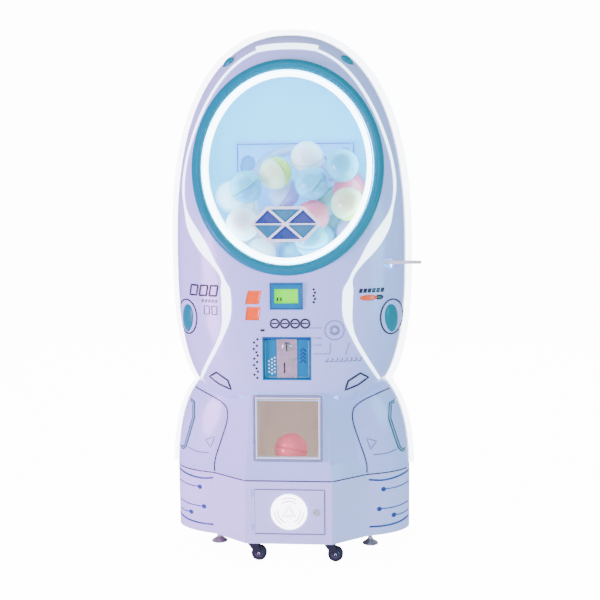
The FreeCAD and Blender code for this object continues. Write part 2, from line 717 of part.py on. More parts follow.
def make_coin_panel():
    front = -321.5
    low = "coin_z - recess_tall / 2"
    tray = block("coin_tray", "recess_wide - 0.6", 15.5, "recess_tall - 0.6", 0, front + 7.75, low + " + 0.3")
    pocket = block("coin_pocket", "recess_wide - 8", 25, "recess_tall - 8", 0, front, low + " + 4")
    hole = block("coin_hole", 58, 40, 120, 0, front + 20, "coin_z - 60")
    node(cut("coin_panel_part", tray, pocket, hole), "coin_panel")
    floor = front + 12.5
    plate = block("plate_block", "plate_wide", 2.5, "plate_tall", 0, floor - 1.25, "coin_z - plate_tall / 2")
    slot = block("plate_slot", 3.4, 30, 30, 0, floor, "coin_z + 22")
    back_slot = block("plate_return", 4, 30, 34, -8, floor, "coin_z - 48")
    button = rod("plate_button_cut", 9.3, 30, 12, floor - 15, "coin_z - 8", "y")
    entry_cut = rod("plate_entry_cut", 9, 30, 0, floor - 15, "coin_z + 36", "y")
    node(cut("plate_part", plate, slot, back_slot, button, entry_cut), "coin_plate")
    disc = taper("entry_disc", 12, 15, 6, 0, floor - 8.5, "coin_z + 36", "y")
    neck = rod("entry_neck", 8.8, 8, 0, floor - 3, "coin_z + 36", "y")
    gap = block("entry_slot", 3.4, 40, 27, 0, floor, "coin_z + 22.5")
    node(cut("entry_part", fuse("entry_whole", disc, neck), gap), "coin_entry")
    cap = rod("button_cap", 9, 9, 12, floor - 9, "coin_z - 8", "y")
    node(cap, "reject_button")
    body = block("acceptor_block", 57, 62, 118, 0, floor + 31.2, "coin_z - 59")
    coin_way = block("acceptor_way", 4, 80, 31, 0, floor + 20, "coin_z + 21")
    exit_way = block("acceptor_exit", 34, 30, 30, 0, floor + 50, "coin_z - 60")
    press = rod("acceptor_press", 9.3, 8, 12, floor - 1, "coin_z - 8", "y")
    seat = rod("acceptor_seat", 9.2, 8, 0, floor - 1, "coin_z + 36", "y")
    node(cut("acceptor_part", body, coin_way, exit_way, press, seat), "coin_acceptor")
    screws = []
    for number, (x, z) in enumerate(((-27, 58), (27, 58), (-27, -58), (27, -58)), start=1):
        head = rod("plate_screw_%d" % number, 3, 1.6, x, floor - 4.1, "coin_z + (%g)" % z, "y")
        cross = block("plate_screw_slot_%d" % number, 4.6, 1, 0.9, x, floor - 4.1, "coin_z + (%g) - 0.45" % z)
        screws.append(cut("plate_screw_head_%d" % number, head, cross))
    node(group("plate_screw_group", *screws), "coin_plate_screws")


def channel(name, points, wide, deep, wall, y):
    """A coin channel along straight runs in an X-Z plane: three walls, open to the rear."""
    outer, inner = [], []
    for start, end in zip(points, points[1:]):
        run = Vector(end[0] - start[0], 0, end[1] - start[1])
        turn = Rotation(AXES["y"], math.degrees(math.atan2(run.x, run.z)))
        seat = Placement(Vector(start[0], y, start[1]), turn)
        for boxes, half, low in ((outer, wide / 2, 0), (inner, wide / 2 - wall, wall)):
            piece = Part.makeBox(2 * half, deep, run.Length, Vector(-half, low, 0))
            joint = Part.makeCylinder(half, deep, Vector(0, low, 0), AXES["y"])
            piece = piece.fuse(joint)
            piece.Placement = seat
            boxes.append(piece)
    whole = outer[0].multiFuse(outer[1:])
    return solid(name, whole.cut(inner[0].multiFuse(inner[1:])).removeSplitter())


def make_coin_path():
    run = ((70, 262), (128, 290), (128, 560), (30, 604))
    node(channel("coin_channel", run, 30, 12, 1.5, -262), "coin_chute")
    outer = box("cash_outer", 210, 170, 120, -105, -300, "base_bottom + floor_thick + 0.3")
    inner = box("cash_inner", 206, 166, 130, -103, -298, "base_bottom + floor_thick + 2.3")
    node(cut("cash_part", outer, inner), "cash_box")


def make_lever():
    ring = rod("escutcheon_outer", 21, 100, "lever_x - 40", "lever_y", "lever_z - 4", "x")
    hole = rod("escutcheon_inner", "lever_hole", 120, "lever_x - 50", "lever_y", "lever_z - 4", "x")
    band = solid("escutcheon_band", front_solid(-3).cut(front_solid(0)))
    node(cut("escutcheon_part", common("escutcheon_ring", ring, band), hole), "lever_escutcheon")
    pivot = 284
    hub = rod("lever_hub", 10, 15, pivot, "lever_y - 7.5", "lever_z", "y")
    shaft = taper("lever_root", 7.5, 7, 62, pivot, "lever_y", "lever_z", "x")
    neck = taper("lever_neck", 7, 5.5, 18, pivot + 62, "lever_y", "lever_z", "x")
    grip = rod("lever_grip", 5.5, "lever_reach - %g" % (pivot + 85.5), pivot + 80, "lever_y", "lever_z", "x")
    end = doc.addObject("Part::Sphere", "lever_end")
    end.Radius = 5.5
    place(end, "lever_reach - 5.5", "lever_y", "lever_z")
    bore = rod("lever_bore", 3.05, 40, pivot, "lever_y - 20", "lever_z", "y")
    node(cut("lever_part", fuse("lever_whole", hub, shaft, neck, grip, end), bore), "side_lever")
    cheek_a = box("bracket_cheek_a", 26, 3, 24, pivot - 14, "lever_y - 11.5", "lever_z - 12")
    cheek_b = box("bracket_cheek_b", 26, 3, 24, pivot - 14, "lever_y + 8.5", "lever_z - 12")
    web = box("bracket_web", 3, 23, 24, pivot - 14, "lever_y - 11.5", "lever_z - 12")
    arm = box("bracket_arm", 3, "halo_y - lever_y - 11.5", 24, pivot - 14, "lever_y + 11.5", "lever_z - 12")
    foot = box("bracket_foot", 50, 3, 24, pivot - 14, "halo_y - 3.3", "lever_z - 12")
    pin = rod("bracket_bore", 3, 60, pivot, "lever_y - 30", "lever_z", "y")
    bracket = cut("bracket_bored", fuse("bracket_whole", cheek_a, cheek_b, web, arm, foot), pin)
    pivot_pin = rod("lever_pin_rod", 3, 28, pivot, "lever_y - 14", "lever_z", "y")
    node(group("bracket_part", bracket, pivot_pin), "lever_bracket")


# ---- doors and locks ----

def make_lock(label, x, y, z, way, cam_up):
    """Cam lock: flanged barrel through a door, with a cam behind it. way is the outward side of Y."""
    barrel = rod(label + "_barrel", "lock_size / 2", 18, x, y if way < 0 else y - 18, z, "y")
    flange = rod(label + "_flange", "lock_size / 2 + 2", 2, x, y - 2 if way < 0 else y, z, "y")
    key = block(label + "_key", 2, 30, 8, x, y - 15 if way < 0 else y + 15, "%s - 4" % z)
    cam = block(label + "_cam", 14, 2, cam_up, x, y + 15 if way < 0 else y - 15, z)
    keyway = cut(label + "_keyed", fuse(label + "_whole", barrel, flange), key)
    return node(fuse(label + "_part", keyway, cam), label)


def knuckle(name, x, y, low, length, radius, bore):
    outer = rod(name, radius, length, x, y, low)
    return cut(name + "_bored", outer, rod(name + "_bore", bore, length + 4, x, y, low - 2))


def make_service_door():
    half, thick, centre = size("door_wide") / 2, size("door_thick"), size("door_z")
    front = size("front_y")
    hinge_x, hinge_y = -half - 1.5, front - 3.5
    body = doc.addObject("PartDesign::Body", "door_body")
    plane = [item for item in body.Origin.OriginFeatures if item.Role == "XZ_Plane"][0]
    sketch = body.newObject("Sketcher::SketchObject", "door_outline")
    sketch.AttachmentSupport = [(plane, "")]
    sketch.MapMode = "FlatFace"
    corners = [Vector(0, 0, 0), Vector(200, 0, 0), Vector(200, 100, 0), Vector(0, 100, 0)]
    for start, end in zip(corners, corners[1:] + corners[:1]):
        sketch.addGeometry(Part.LineSegment(start, end), False)
    rules = [Sketcher.Constraint("Coincident", side, 2, (side + 1) % 4, 1) for side in range(4)]
    rules += [Sketcher.Constraint("Horizontal", 0), Sketcher.Constraint("Horizontal", 2)]
    rules += [Sketcher.Constraint("Vertical", 1), Sketcher.Constraint("Vertical", 3)]
    rules += [Sketcher.Constraint("Coincident", 0, 1, -1, 1)]
    sketch.addConstraint(rules)
    wide = sketch.addConstraint(Sketcher.Constraint("DistanceX", 0, 1, 0, 2, 200))
    tall = sketch.addConstraint(Sketcher.Constraint("DistanceY", 1, 1, 1, 2, 100))
    sketch.setExpression("Constraints[%d]" % wide, "Dims.door_wide")
    sketch.setExpression("Constraints[%d]" % tall, "Dims.door_tall")
    pad = body.newObject("PartDesign::Pad", "door_pad")
    pad.Profile = sketch
    pad.setExpression("Length", "Dims.door_thick")
    body.Placement.Base = Vector(-half, front + thick, centre - size("door_tall") / 2)
    lock_hole = rod("door_lock_cut", "lock_size / 2 + 0.05", 40, 90, front - 10, "door_z", "y")
    knuckles, fixed = [], []
    for number, offset in enumerate((-60, 50), start=1):
        low = centre + offset
        knuckles.append(knuckle("door_knuckle_%d" % number, hinge_x, hinge_y, low, 10, 3, 1.25))
        knuckles.append(box("door_tab_%d" % number, 8, 1.2, 10, hinge_x + 1.5, front - 1.2, low))
        fixed.append(knuckle("fixed_knuckle_%d" % number, hinge_x, hinge_y, low + 10.4, 9, 3, 1.2))
        fixed.append(rod("hinge_pin_%d" % number, 1.2, 20, hinge_x, hinge_y, low))
        fixed.append(box("fixed_tab_%d" % number, 8, 1.2, 9, hinge_x - 9.5, front - 1.2, low + 10.4))
    node(cut("door_part", fuse("door_whole", body, *knuckles), lock_hole,
             rod("door_pin_clear", 1.25, 160, hinge_x, hinge_y, centre - 80)), "service_door")
    shell = doc.getObject("base_part")
    nodes.remove(shell)
    shell.Label = "base_shell_bare"
    node(group("base_shell_set", shell, fuse("service_hinge", *fixed)), "base_shell")
    badge = rod("badge_disc", "badge_size / 2", 2, 2, front - 2, "door_z", "y")
    node(badge, "service_badge")
    make_lock("service_lock", 90, front, "door_z", -1, 26)


def make_rear_door():
    back = 213.5
    low, tall, half = size("rear_door_low"), size("rear_door_tall"), size("rear_door_half")
    tray = box("rear_tray", "2 * rear_door_half", 16, "rear_door_tall", "-rear_door_half", back,
               "rear_door_low")
    hollow = box("rear_hollow", "2 * rear_door_half - 4", 16, "rear_door_tall - 4", "2 - rear_door_half",
                 back - 2, "rear_door_low + 2")
    lock_hole = rod("rear_lock_cut", "lock_size / 2 + 0.05", 60, -145, 190, low + tall / 2, "y")
    hinge_x, hinge_y = half + 4, back + 18
    knuckles, fixed = [], []
    for number, offset in enumerate((60, tall - 110), start=1):
        start = low + offset
        knuckles.append(knuckle("rear_knuckle_%d" % number, hinge_x, hinge_y, start, 24, 4, 2.05))
        knuckles.append(box("rear_tab_%d" % number, 22, 1.5, 24, hinge_x - 24, back + 16, start))
        fixed.append(knuckle("rear_fixed_%d" % number, hinge_x, hinge_y, start + 24.4, 24, 4, 2))
        fixed.append(rod("rear_pin_%d" % number, 2, 48, hinge_x, hinge_y, start))
        fixed.append(box("rear_post_%d" % number, 4, 30, 24, hinge_x, back - 12, start + 24.4))
    pin_way = rod("rear_pin_clear", 2.05, tall, hinge_x, hinge_y, low)
    node(cut("rear_door_part", fuse("rear_door_whole", cut("rear_shell", tray, hollow), *knuckles),
             lock_hole, pin_way), "rear_door")
    outside = doc.getObject("rear_wall")
    hinge = cut("rear_hinge", fuse("rear_hinge_whole", *fixed), outside)
    cover = doc.getObject("rear_cover_part")
    nodes.remove(cover)
    cover.Label = "rear_cover_bare"
    node(group("rear_cover_set", cover, hinge), "rear_cover")
    make_lock("rear_lock", -145, back + 16, low + tall / 2, 1, 20)


# ---- casters, feet and inside equipment ----

def caster_places():
    for end, y in (("front", "caster_front_y"), ("rear", "caster_rear_y")):
        for side, name in ((LEFT, "left"), (RIGHT, "right")):
            yield "%s_%s" % (end, name), side * size("caster_x"), size(y)


def make_casters():
    plates = []
    radius = size("tread_size") / 2
    axle_z = radius + size("tread_gap")
    trail, half = size("caster_trail"), size("tread_wide") / 2
    for place_name, x, y in caster_places():
        tag = "caster_" + place_name
        plate = block(tag + "_plate", 62, 62, 4, x, y, "base_bottom - 4")
        race = rod(tag + "_race", 19, 5, x, y, "base_bottom - 8")
        hole = rod(tag + "_hole", 4.05, 20, x, y, "base_bottom - 12")
        plates.append(cut(tag + "_base", fuse(tag + "_base_whole", plate, race), hole))
        crown = rod(tag + "_crown", 18, 4.5, x, y, 62)
        king = rod(tag + "_king", 4, 10, x, y, 62)
        outline = [(-16, 64), (17, 64), (trail + 11, 30), (trail + 7, 20), (trail - 5, 20), (-3, 46)]
        cheeks = []
        for side in (LEFT, RIGHT):
            near = side * (half + 1.5) if side == RIGHT else -half - 4
            corners = [Vector(x + across, y + near, up) for across, up in outline]
            face = Part.Face(Part.makePolygon(corners + corners[:1]))
            cheeks.append(solid("%s_cheek_%d" % (tag, side + 2), face.extrude(Vector(0, 2.5, 0))))
        axle_hole = rod(tag + "_axle_hole", 3, 60, x + trail, y - 30, axle_z, "y")
        fork = cut(tag + "_fork_bare", fuse(tag + "_fork_whole", crown, king, *cheeks), axle_hole)
        axle = rod(tag + "_axle_rod", 3, 34, x + trail, y - 17, axle_z, "y")
        node(group(tag + "_fork_part", fork, axle), tag + "_fork")
        middle = rod(tag + "_tread", radius, 2 * half - 6, x + trail, y - half + 3, axle_z, "y")
        near = taper(tag + "_near", radius - 4, radius, 3, x + trail, y - half, axle_z, "y")
        far = taper(tag + "_far", radius, radius - 4, 3, x + trail, y + half - 3, axle_z, "y")
        bore = rod(tag + "_bore", 3.05, 60, x + trail, y - 30, axle_z, "y")
        node(cut(tag + "_wheel_part", fuse(tag + "_wheel_whole", middle, near, far), bore), tag + "_wheel")
    node(group("caster_plate_group", *plates), "caster_plates")


def foot_places():
    for end, y in (("front", "foot_front_y"), ("rear", "foot_rear_y")):
        for side, name in ((LEFT, "left"), (RIGHT, "right")):
            yield "%s_%s" % (end, name), side * size("foot_x"), size(y)


def make_feet():
    nuts = []
    floor = doc.getObject("floor_part")
    holes = []
    for place_name, x, y in foot_places():
        tag = "foot_" + place_name
        disc = rod(tag + "_disc", "foot_size / 2", 3, x, y, 0)
        dome = taper(tag + "_dome", "foot_size / 2", 9, 13, x, y, 3)
        neck = rod(tag + "_neck", 9, 6, x, y, 15)
        stem = rod(tag + "_stem", "thread_size / 2", 85, x, y, 20)
        node(fuse(tag + "_part", disc, dome, neck, stem), "levelling_" + tag)
        nut = doc.addObject("Part::Prism", tag + "_nut")
        nut.Polygon = 6
        nut.Circumradius = 11
        nut.Height = 8
        place(nut, x, y, "base_bottom - 8")
        bore = rod(tag + "_nut_bore", "thread_size / 2 + 0.05", 20, x, y, 60)
        nuts.append(cut(tag + "_nut_part", nut, bore))
        holes.append(rod(tag + "_hole", "thread_size / 2 + 0.05", 20, x, y, 70))
    nodes.remove(floor)
    floor.Label = "base_floor_blank"
    node(group("floor_set", cut("floor_bored", floor, *holes), *nuts), "base_floor")


def make_equipment():
    node(block("supply_case", 160, 110, 55, -170, 110, "base_bottom + floor_thick + 0.3"), "power_supply")
    flange = block("inlet_flange", 58, 12, 38, 200, 312, 341)
    body = block("inlet_body", 47, 34, 27, 200, 301, 346.5)
    mouth = block("inlet_mouth", 30, 24, 16, 200, 311, 352)
    proud = cut("inlet_proud", flange, doc.getObject("cabinet_full"))
    node(cut("inlet_part", fuse("inlet_whole", proud, body), mouth), "power_inlet")


# ---- light strips, marker lamps and label ----

def ribbon(points, y_low=-420, y_high=-109):
    """A slab cut to a band that follows (x, height, half width) points."""
    left, right = [], []
    for number, (x, height, half) in enumerate(points):
        before = points[max(number - 1, 0)]
        after = points[min(number + 1, len(points) - 1)]
        run = Vector(after[0] - before[0], 0, after[1] - before[1]).normalize()
        left.append(Vector(x - run.z * half, y_low, height + run.x * half))
        right.append(Vector(x + run.z * half, y_low, height - run.x * half))
    one, two = Part.BSplineCurve(), Part.BSplineCurve()
    one.interpolate(left)
    two.interpolate(right)
    ends = [Part.LineSegment(left[-1], right[-1]).toShape(), Part.LineSegment(right[0], left[0]).toShape()]
    wire = Part.Wire(Part.__sortEdges__([one.toShape(), ends[0], two.toShape(), ends[1]]))
    return Part.Face(wire).extrude(Vector(0, y_high - y_low, 0))


# x, height and half width along the light strip beside the window and down the front
SIDE_BAND = ((98, 1641, 4), (162, 1604, 4), (246, 1505, 4), (303, 1388, 4), (333, 1285, 4), (340, 1200, 4),
             (329, 1138, 5), (316, 1102, 12), (290, 1058, 17), (262, 1018, 15), (240, 988, 9), (221, 962, 6),
             (207, 940, 5), (200, 920, 7), (195, 900, 14), (192, 875, 16), (191, 845, 16), (192, 810, 14),
             (203, 764, 8), (235, 697, 6), (266, 643, 5), (291, 596, 4))
TOP_BAND = ((-98, 1648, 10), (-50, 1655, 10), (0, 1657, 10), (50, 1655, 10), (98, 1648, 10))


def make_light_strips():
    band = front_solid(-1.5).cut(front_solid(0))
    pieces = [ribbon(TOP_BAND).common(band)]
    for side in (LEFT, RIGHT):
        pieces.append(ribbon([(side * x, height, half) for x, height, half in SIDE_BAND]).common(band))
    node(solid("strip_part", Part.makeCompound(pieces)), "light_strips")


def lamp(x, height, half_wide, half_tall, lean):
    """A pebble-shaped lamp that stands 5 mm proud of the front shell."""
    ball = Part.makeSphere(1)
    stretch = Matrix()
    stretch.scale(half_wide, 14, half_tall)
    pebble = ball.transformGeometry(stretch)
    step = 2.0
    here = on_front(x, height)
    slope = (on_front(x + step, height) - on_front(x - step, height)).normalize()
    yaw = math.degrees(math.atan2(slope.y, slope.x))
    pebble.rotate(Vector(0, 0, 0), AXES["y"], lean)
    pebble.rotate(Vector(0, 0, 0), UP, yaw)
    pebble.translate(here + Vector(-slope.y, slope.x, 0) * 7)
    return pebble.cut(egg_full.Shape)


def make_lamps():
    pieces = []
    for side in (LEFT, RIGHT):
        pieces.append(lamp(side * 331, 800, 34, 52, side * -12))
        pieces.append(lamp(side * 196, 1606, 30, 15, side * 38))
    node(solid("lamp_part", Part.makeCompound(pieces)), "marker_lamps")


def make_label():
    centre, half, top, rise = 1100, 112, 59, 55
    outline = ((-half, 0), (-top, rise), (top, rise), (half, 0), (top, -rise), (-top, -rise))
    corners = [Vector(x - 2, -400, centre + up) for x, up in outline]
    slab = Part.Face(Part.makePolygon(corners + corners[:1])).extrude(Vector(0, 290, 0))
    film = front_solid(size("skin") - 0.6).cut(front_solid(size("skin") + 0.2))
    node(solid("label_part", slab.common(film)), "window_label")


make_egg_shell()
make_rear_cover()
make_rear_cabinet()
make_pods()
make_front_bay()
make_halo_plate()
make_base()
make_chamber()
make_window()
make_capsules()
make_dispenser()
make_prize_bay()
make_display()
make_coin_panel()
make_coin_path()
make_lever()
make_service_door()
make_rear_door()
make_casters()
make_feet()
make_equipment()
make_light_strips()
make_lamps()
make_label()
doc.recompute()

faults = []
for item in doc.Objects:
    if any(state in ("Invalid", "Error") for state in item.State):
        faults.append("%s: %s" % (item.Label, item.State))
for item in nodes:
    if item.Shape.isNull() or not item.Shape.isValid() or item.Shape.Volume <= 0:
        faults.append("%s has no valid shape" % item.Label)
if faults:
    raise RuntimeError("; ".join(faults))
os.makedirs("parts", exist_ok=True)
for item in nodes:
    item.Shape.exportStep("parts/%s.step" % item.Label)
print("%d nodes" % len(nodes))
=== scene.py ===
# Looks of the capsule toy vendor: materials, graphics, capsules, lights and camera round the
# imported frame. Metres, +Z up, the machine faces -Y.
import bpy
import math
import random
from mathutils import Matrix, Vector
from mathutils.bvhtree import BVHTree


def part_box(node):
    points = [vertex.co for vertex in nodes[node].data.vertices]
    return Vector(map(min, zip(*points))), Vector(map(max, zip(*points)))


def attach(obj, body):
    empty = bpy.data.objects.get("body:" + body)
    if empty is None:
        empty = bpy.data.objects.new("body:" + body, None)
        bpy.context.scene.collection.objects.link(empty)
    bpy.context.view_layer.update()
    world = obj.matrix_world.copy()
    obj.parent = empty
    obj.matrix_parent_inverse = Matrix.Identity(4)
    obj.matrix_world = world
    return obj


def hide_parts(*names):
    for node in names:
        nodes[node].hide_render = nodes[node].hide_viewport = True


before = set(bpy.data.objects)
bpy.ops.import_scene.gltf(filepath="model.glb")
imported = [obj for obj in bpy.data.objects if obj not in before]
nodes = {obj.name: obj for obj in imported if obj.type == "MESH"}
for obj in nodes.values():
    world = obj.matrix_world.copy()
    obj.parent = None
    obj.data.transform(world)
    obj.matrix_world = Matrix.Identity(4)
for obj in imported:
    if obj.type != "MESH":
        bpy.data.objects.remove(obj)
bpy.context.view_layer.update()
LEFT, RIGHT = -1, 1
CORNERS = ("front_left", "front_right", "rear_left", "rear_right")
FULL_TURN = 2 * math.pi
GRAPHIC_LIFT = 0.0011       # how far a graphic stands off its shell
GRAPHIC_SINK = 0.0006       # how far its back lies in the shell
STAGE_GLOW = 14.0           # light of floor and air where the camera sees them itself
AIR_LIGHT = 0.5             # light of the air on everything else
FLOOR_HALF = 30.0           # half the studio floor's side


# ---- materials ----

class Paint:
    """A Principled material with helpers for the procedural detail that each surface gets."""

    def __init__(self, name, color, rough=0.4, metal=0.0, coat=0.0, glow=0.0, glow_color=None,
                 shine=0.5):
        self.material = bpy.data.materials.new(name)
        self.material.use_nodes = True
        self.tree = self.material.node_tree
        self.shader = self.tree.nodes["Principled BSDF"]
        self.color = color
        self.set("Base Color", (*color, 1.0))
        self.set("Roughness", rough)
        self.set("Metallic", metal)
        self.set("Coat Weight", coat)
        self.set("Coat Roughness", 0.06)
        self.set("Specular IOR Level", shine)
        if glow:
            self.set("Emission Color", (*(glow_color or color), 1.0))
            self.set("Emission Strength", glow)
        self.place = self.node("ShaderNodeTexCoord").outputs["Object"]

    def node(self, kind, **settings):
        item = self.tree.nodes.new(kind)
        for key, value in settings.items():
            setattr(item, key, value)
        return item

    def set(self, socket, value):
        self.shader.inputs[socket].default_value = value

    def link(self, source, target):
        self.tree.links.new(source, target)

    def noise(self, scale, detail=3.0, stretch=(1, 1, 1)):
        """Noise over the object's own space, scale in features per metre."""
        spread = self.node("ShaderNodeMapping")
        spread.inputs["Scale"].default_value = stretch
        cloud = self.node("ShaderNodeTexNoise")
        cloud.inputs["Scale"].default_value = scale
        cloud.inputs["Detail"].default_value = detail
        self.link(self.place, spread.inputs["Vector"])
        self.link(spread.outputs["Vector"], cloud.inputs["Vector"])
        return cloud.outputs["Fac"]

    def ramp(self, source, low, high, start=0.35, end=0.65):
        """Colour ramp between two colours or greys."""
        item = self.node("ShaderNodeValToRGB")
        for stop, place, value in zip(item.color_ramp.elements, (start, end), (low, high)):
            stop.position = place
            stop.color = (*value, 1.0) if hasattr(value, "__len__") else (value, value, value, 1.0)
        self.link(source, item.inputs["Fac"])
        return item.outputs["Color"]

    def vary(self, amount=0.05, scale=6.0):
        """Slow drift of the base colour, as moulded and painted sheet has."""
        low = [max(0.0, part * (1 - amount)) for part in self.color]
        high = [min(1.0, part * (1 + amount)) for part in self.color]
        self.link(self.ramp(self.noise(scale), low, high), self.shader.inputs["Base Color"])
        return self

    def smudge(self, low, high, scale=18.0, stretch=(1, 1, 1)):
        """Roughness that drifts between two values."""
        drift = self.noise(scale, 5.0, stretch)
        self.link(self.ramp(drift, low, high), self.shader.inputs["Roughness"])
        return self

    def bump(self, scale, strength, distance=0.0004, stretch=(1, 1, 1)):
        """Fine surface relief: orange peel, brushing or grain."""
        relief = self.node("ShaderNodeBump")
        relief.inputs["Strength"].default_value = strength
        relief.inputs["Distance"].default_value = distance
        self.link(self.noise(scale, 2.0, stretch), relief.inputs["Height"])
        self.link(relief.outputs["Normal"], self.shader.inputs["Normal"])
        return self

    def clear(self, alpha):
        """Clear plastic."""
        self.set("Alpha", alpha)
        self.set("IOR", 1.45)
        return self


def gloss_shell(name, color, glow=0.0, glow_color=None, coat=0.4, shine=0.5):
    """Gel-coated moulding: deep gloss with faint orange peel."""
    paint = Paint(name, color, 0.24, coat=coat, glow=glow, glow_color=glow_color, shine=shine)
    return paint.vary(0.025, 3.0).smudge(0.18, 0.32, 9).bump(260, 0.08).material


def powder_coat(name, color, glow=0.0, glow_color=None):
    """Satin paint on sheet metal."""
    paint = Paint(name, color, 0.42, coat=0.15, glow=glow, glow_color=glow_color)
    return paint.vary(0.03, 5.0).smudge(0.32, 0.48, 14).bump(900, 0.18).material


def moulded(name, color, rough, glow=0.0, shine=0.4):
    """Plain moulded plastic with a fine grain."""
    paint = Paint(name, color, rough, glow=glow, shine=shine).vary(0.06, 11)
    return paint.smudge(rough * 0.8, rough * 1.3, 30).bump(1400, 0.2).material


def brushed(name, color, stretch):
    """Metal brushed across the stretched axis."""
    paint = Paint(name, color, 0.3, metal=1.0).vary(0.08, 60)
    return paint.smudge(0.22, 0.42, 40, stretch).bump(300, 0.25, stretch=stretch).material


def bright_metal(name, color, rough=0.12):
    """Polished plating."""
    paint = Paint(name, color, rough, metal=1.0).vary(0.05, 25)
    return paint.smudge(rough * 0.7, rough * 2.0, 50).bump(500, 0.05).material


def lit(name, color, strength):
    """Edge-lit diffuser: emission over a frosted sheet."""
    paint = Paint(name, color, 0.35, glow=strength, glow_color=color)
    return paint.vary(0.03, 8).bump(700, 0.1).material


def printed(name, color, rough=0.32, glow=0.0):
    """Vinyl graphic."""
    paint = Paint(name, color, rough, coat=0.3, glow=glow).vary(0.04, 40)
    return paint.smudge(rough * 0.8, rough * 1.2, 60).bump(1800, 0.08).material


def rubbery(name, color):
    """Matt wheel tread."""
    return Paint(name, color, 0.6).vary(0.12, 40).smudge(0.5, 0.75, 60).bump(900, 0.35).material


# Painted light: shells, prize frame and base glow, and white shells and base are tinted blue.
white_shell_painted_light = gloss_shell("white_shell_painted_light", (0.46, 0.54, 0.95), 0.45, (0.34, 0.46, 1.0), 0.25, 0.3)
frame_white_painted_light = gloss_shell("frame_white_painted_light", (0.46, 0.66, 0.78), 0.45, (0.34, 0.62, 0.80), 0.2, 0.3)
white_base_painted_light = powder_coat("white_base_painted_light", (0.54, 0.58, 0.96), 0.46, (0.40, 0.47, 1.0))
white_lever = gloss_shell("white_lever", (0.80, 0.80, 0.84))
# Painted light: the window bezel, coin panel and display bezel glow though they are no lamps.
teal_gloss_painted_glow = gloss_shell("teal_gloss_painted_glow", (0.0, 0.20, 0.28), 0.16, (0.0, 0.46, 0.66), 0.05, 0.15)
teal_lamp = gloss_shell("teal_lamp", (0.0, 0.18, 0.24), 0.22, (0.0, 0.46, 0.62), 0.05, 0.15)
teal_panel_painted_glow = moulded("teal_panel_painted_glow", (0.0, 0.18, 0.34), 0.45, 0.45, 0.15)
halo_light = lit("halo_light", (0.92, 0.96, 1.0), 7.0)
strip_light = lit("strip_light", (0.78, 0.95, 1.0), 4.5)
ring_light = lit("ring_light", (0.86, 0.97, 1.0), 9.0)
sleeve_light = lit("sleeve_light", (0.50, 0.90, 1.0), 5.0)
# Painted light: chamber liner, back panel, prize bin and chute glow though they are no lamps.
liner_sheet_painted_glow = moulded("liner_sheet_painted_glow", (0.02, 0.58, 0.80), 0.45, 1.35, 0.2)
panel_sheet_painted_glow = moulded("panel_sheet_painted_glow", (0.08, 0.44, 0.85), 0.45, 1.1)
cream_sheet_painted_glow = moulded("cream_sheet_painted_glow", (0.66, 0.58, 0.46), 0.5, 0.25)
coin_steel = brushed("coin_steel", (0.78, 0.60, 0.78), (1, 1, 30))
zinc = brushed("zinc", (0.60, 0.61, 0.63), (30, 1, 1))
chrome = bright_metal("chrome", (0.78, 0.79, 0.81))
black_plastic = moulded("black_plastic", (0.012, 0.016, 0.03), 0.45)
tread = rubbery("tread", (0.008, 0.011, 0.03))
motor_paint = powder_coat("motor_paint", (0.2, 0.21, 0.23))
line_dark = printed("line_dark", (0.004, 0.005, 0.020))
line_teal = printed("line_teal", (0.0, 0.13, 0.22))
line_blue = printed("line_blue", (0.0, 0.06, 0.30))
line_pale = printed("line_pale", (0.25, 0.52, 0.60))
line_faint = printed("line_faint", (0.24, 0.30, 0.50))
line_grey = printed("line_grey", (0.14, 0.14, 0.24))
# These four prints glow: painted light over their printed colour, as they are no lamps.
print_navy = printed("print_navy", (0.0, 0.035, 0.26), glow=0.15)
print_teal = printed("print_teal", (0.0, 0.17, 0.32), glow=0.35)
print_white = printed("print_white", (0.80, 0.88, 0.95), glow=0.5)
print_orange = printed("print_orange", (0.90, 0.10, 0.0), glow=0.35)
badge_light = lit("badge_light", (0.95, 0.97, 1.0), 7.0)
badge_mark = printed("badge_mark", (0.62, 0.64, 0.72), glow=2.2)
screen_light = lit("screen_light", (0.12, 1.0, 0.0), 1.0)
screen_ink = printed("screen_ink", (0.05, 0.20, 0.03))
clear_sheet = Paint("glass", (1.0, 1.0, 1.0), 0.02).clear(0.035)
glass = clear_sheet.vary(0.02, 3).bump(3, 0.03, 0.002).material


def wear(item, material):
    """Gives an object one material."""
    item.data.materials.clear()
    item.data.materials.append(material)


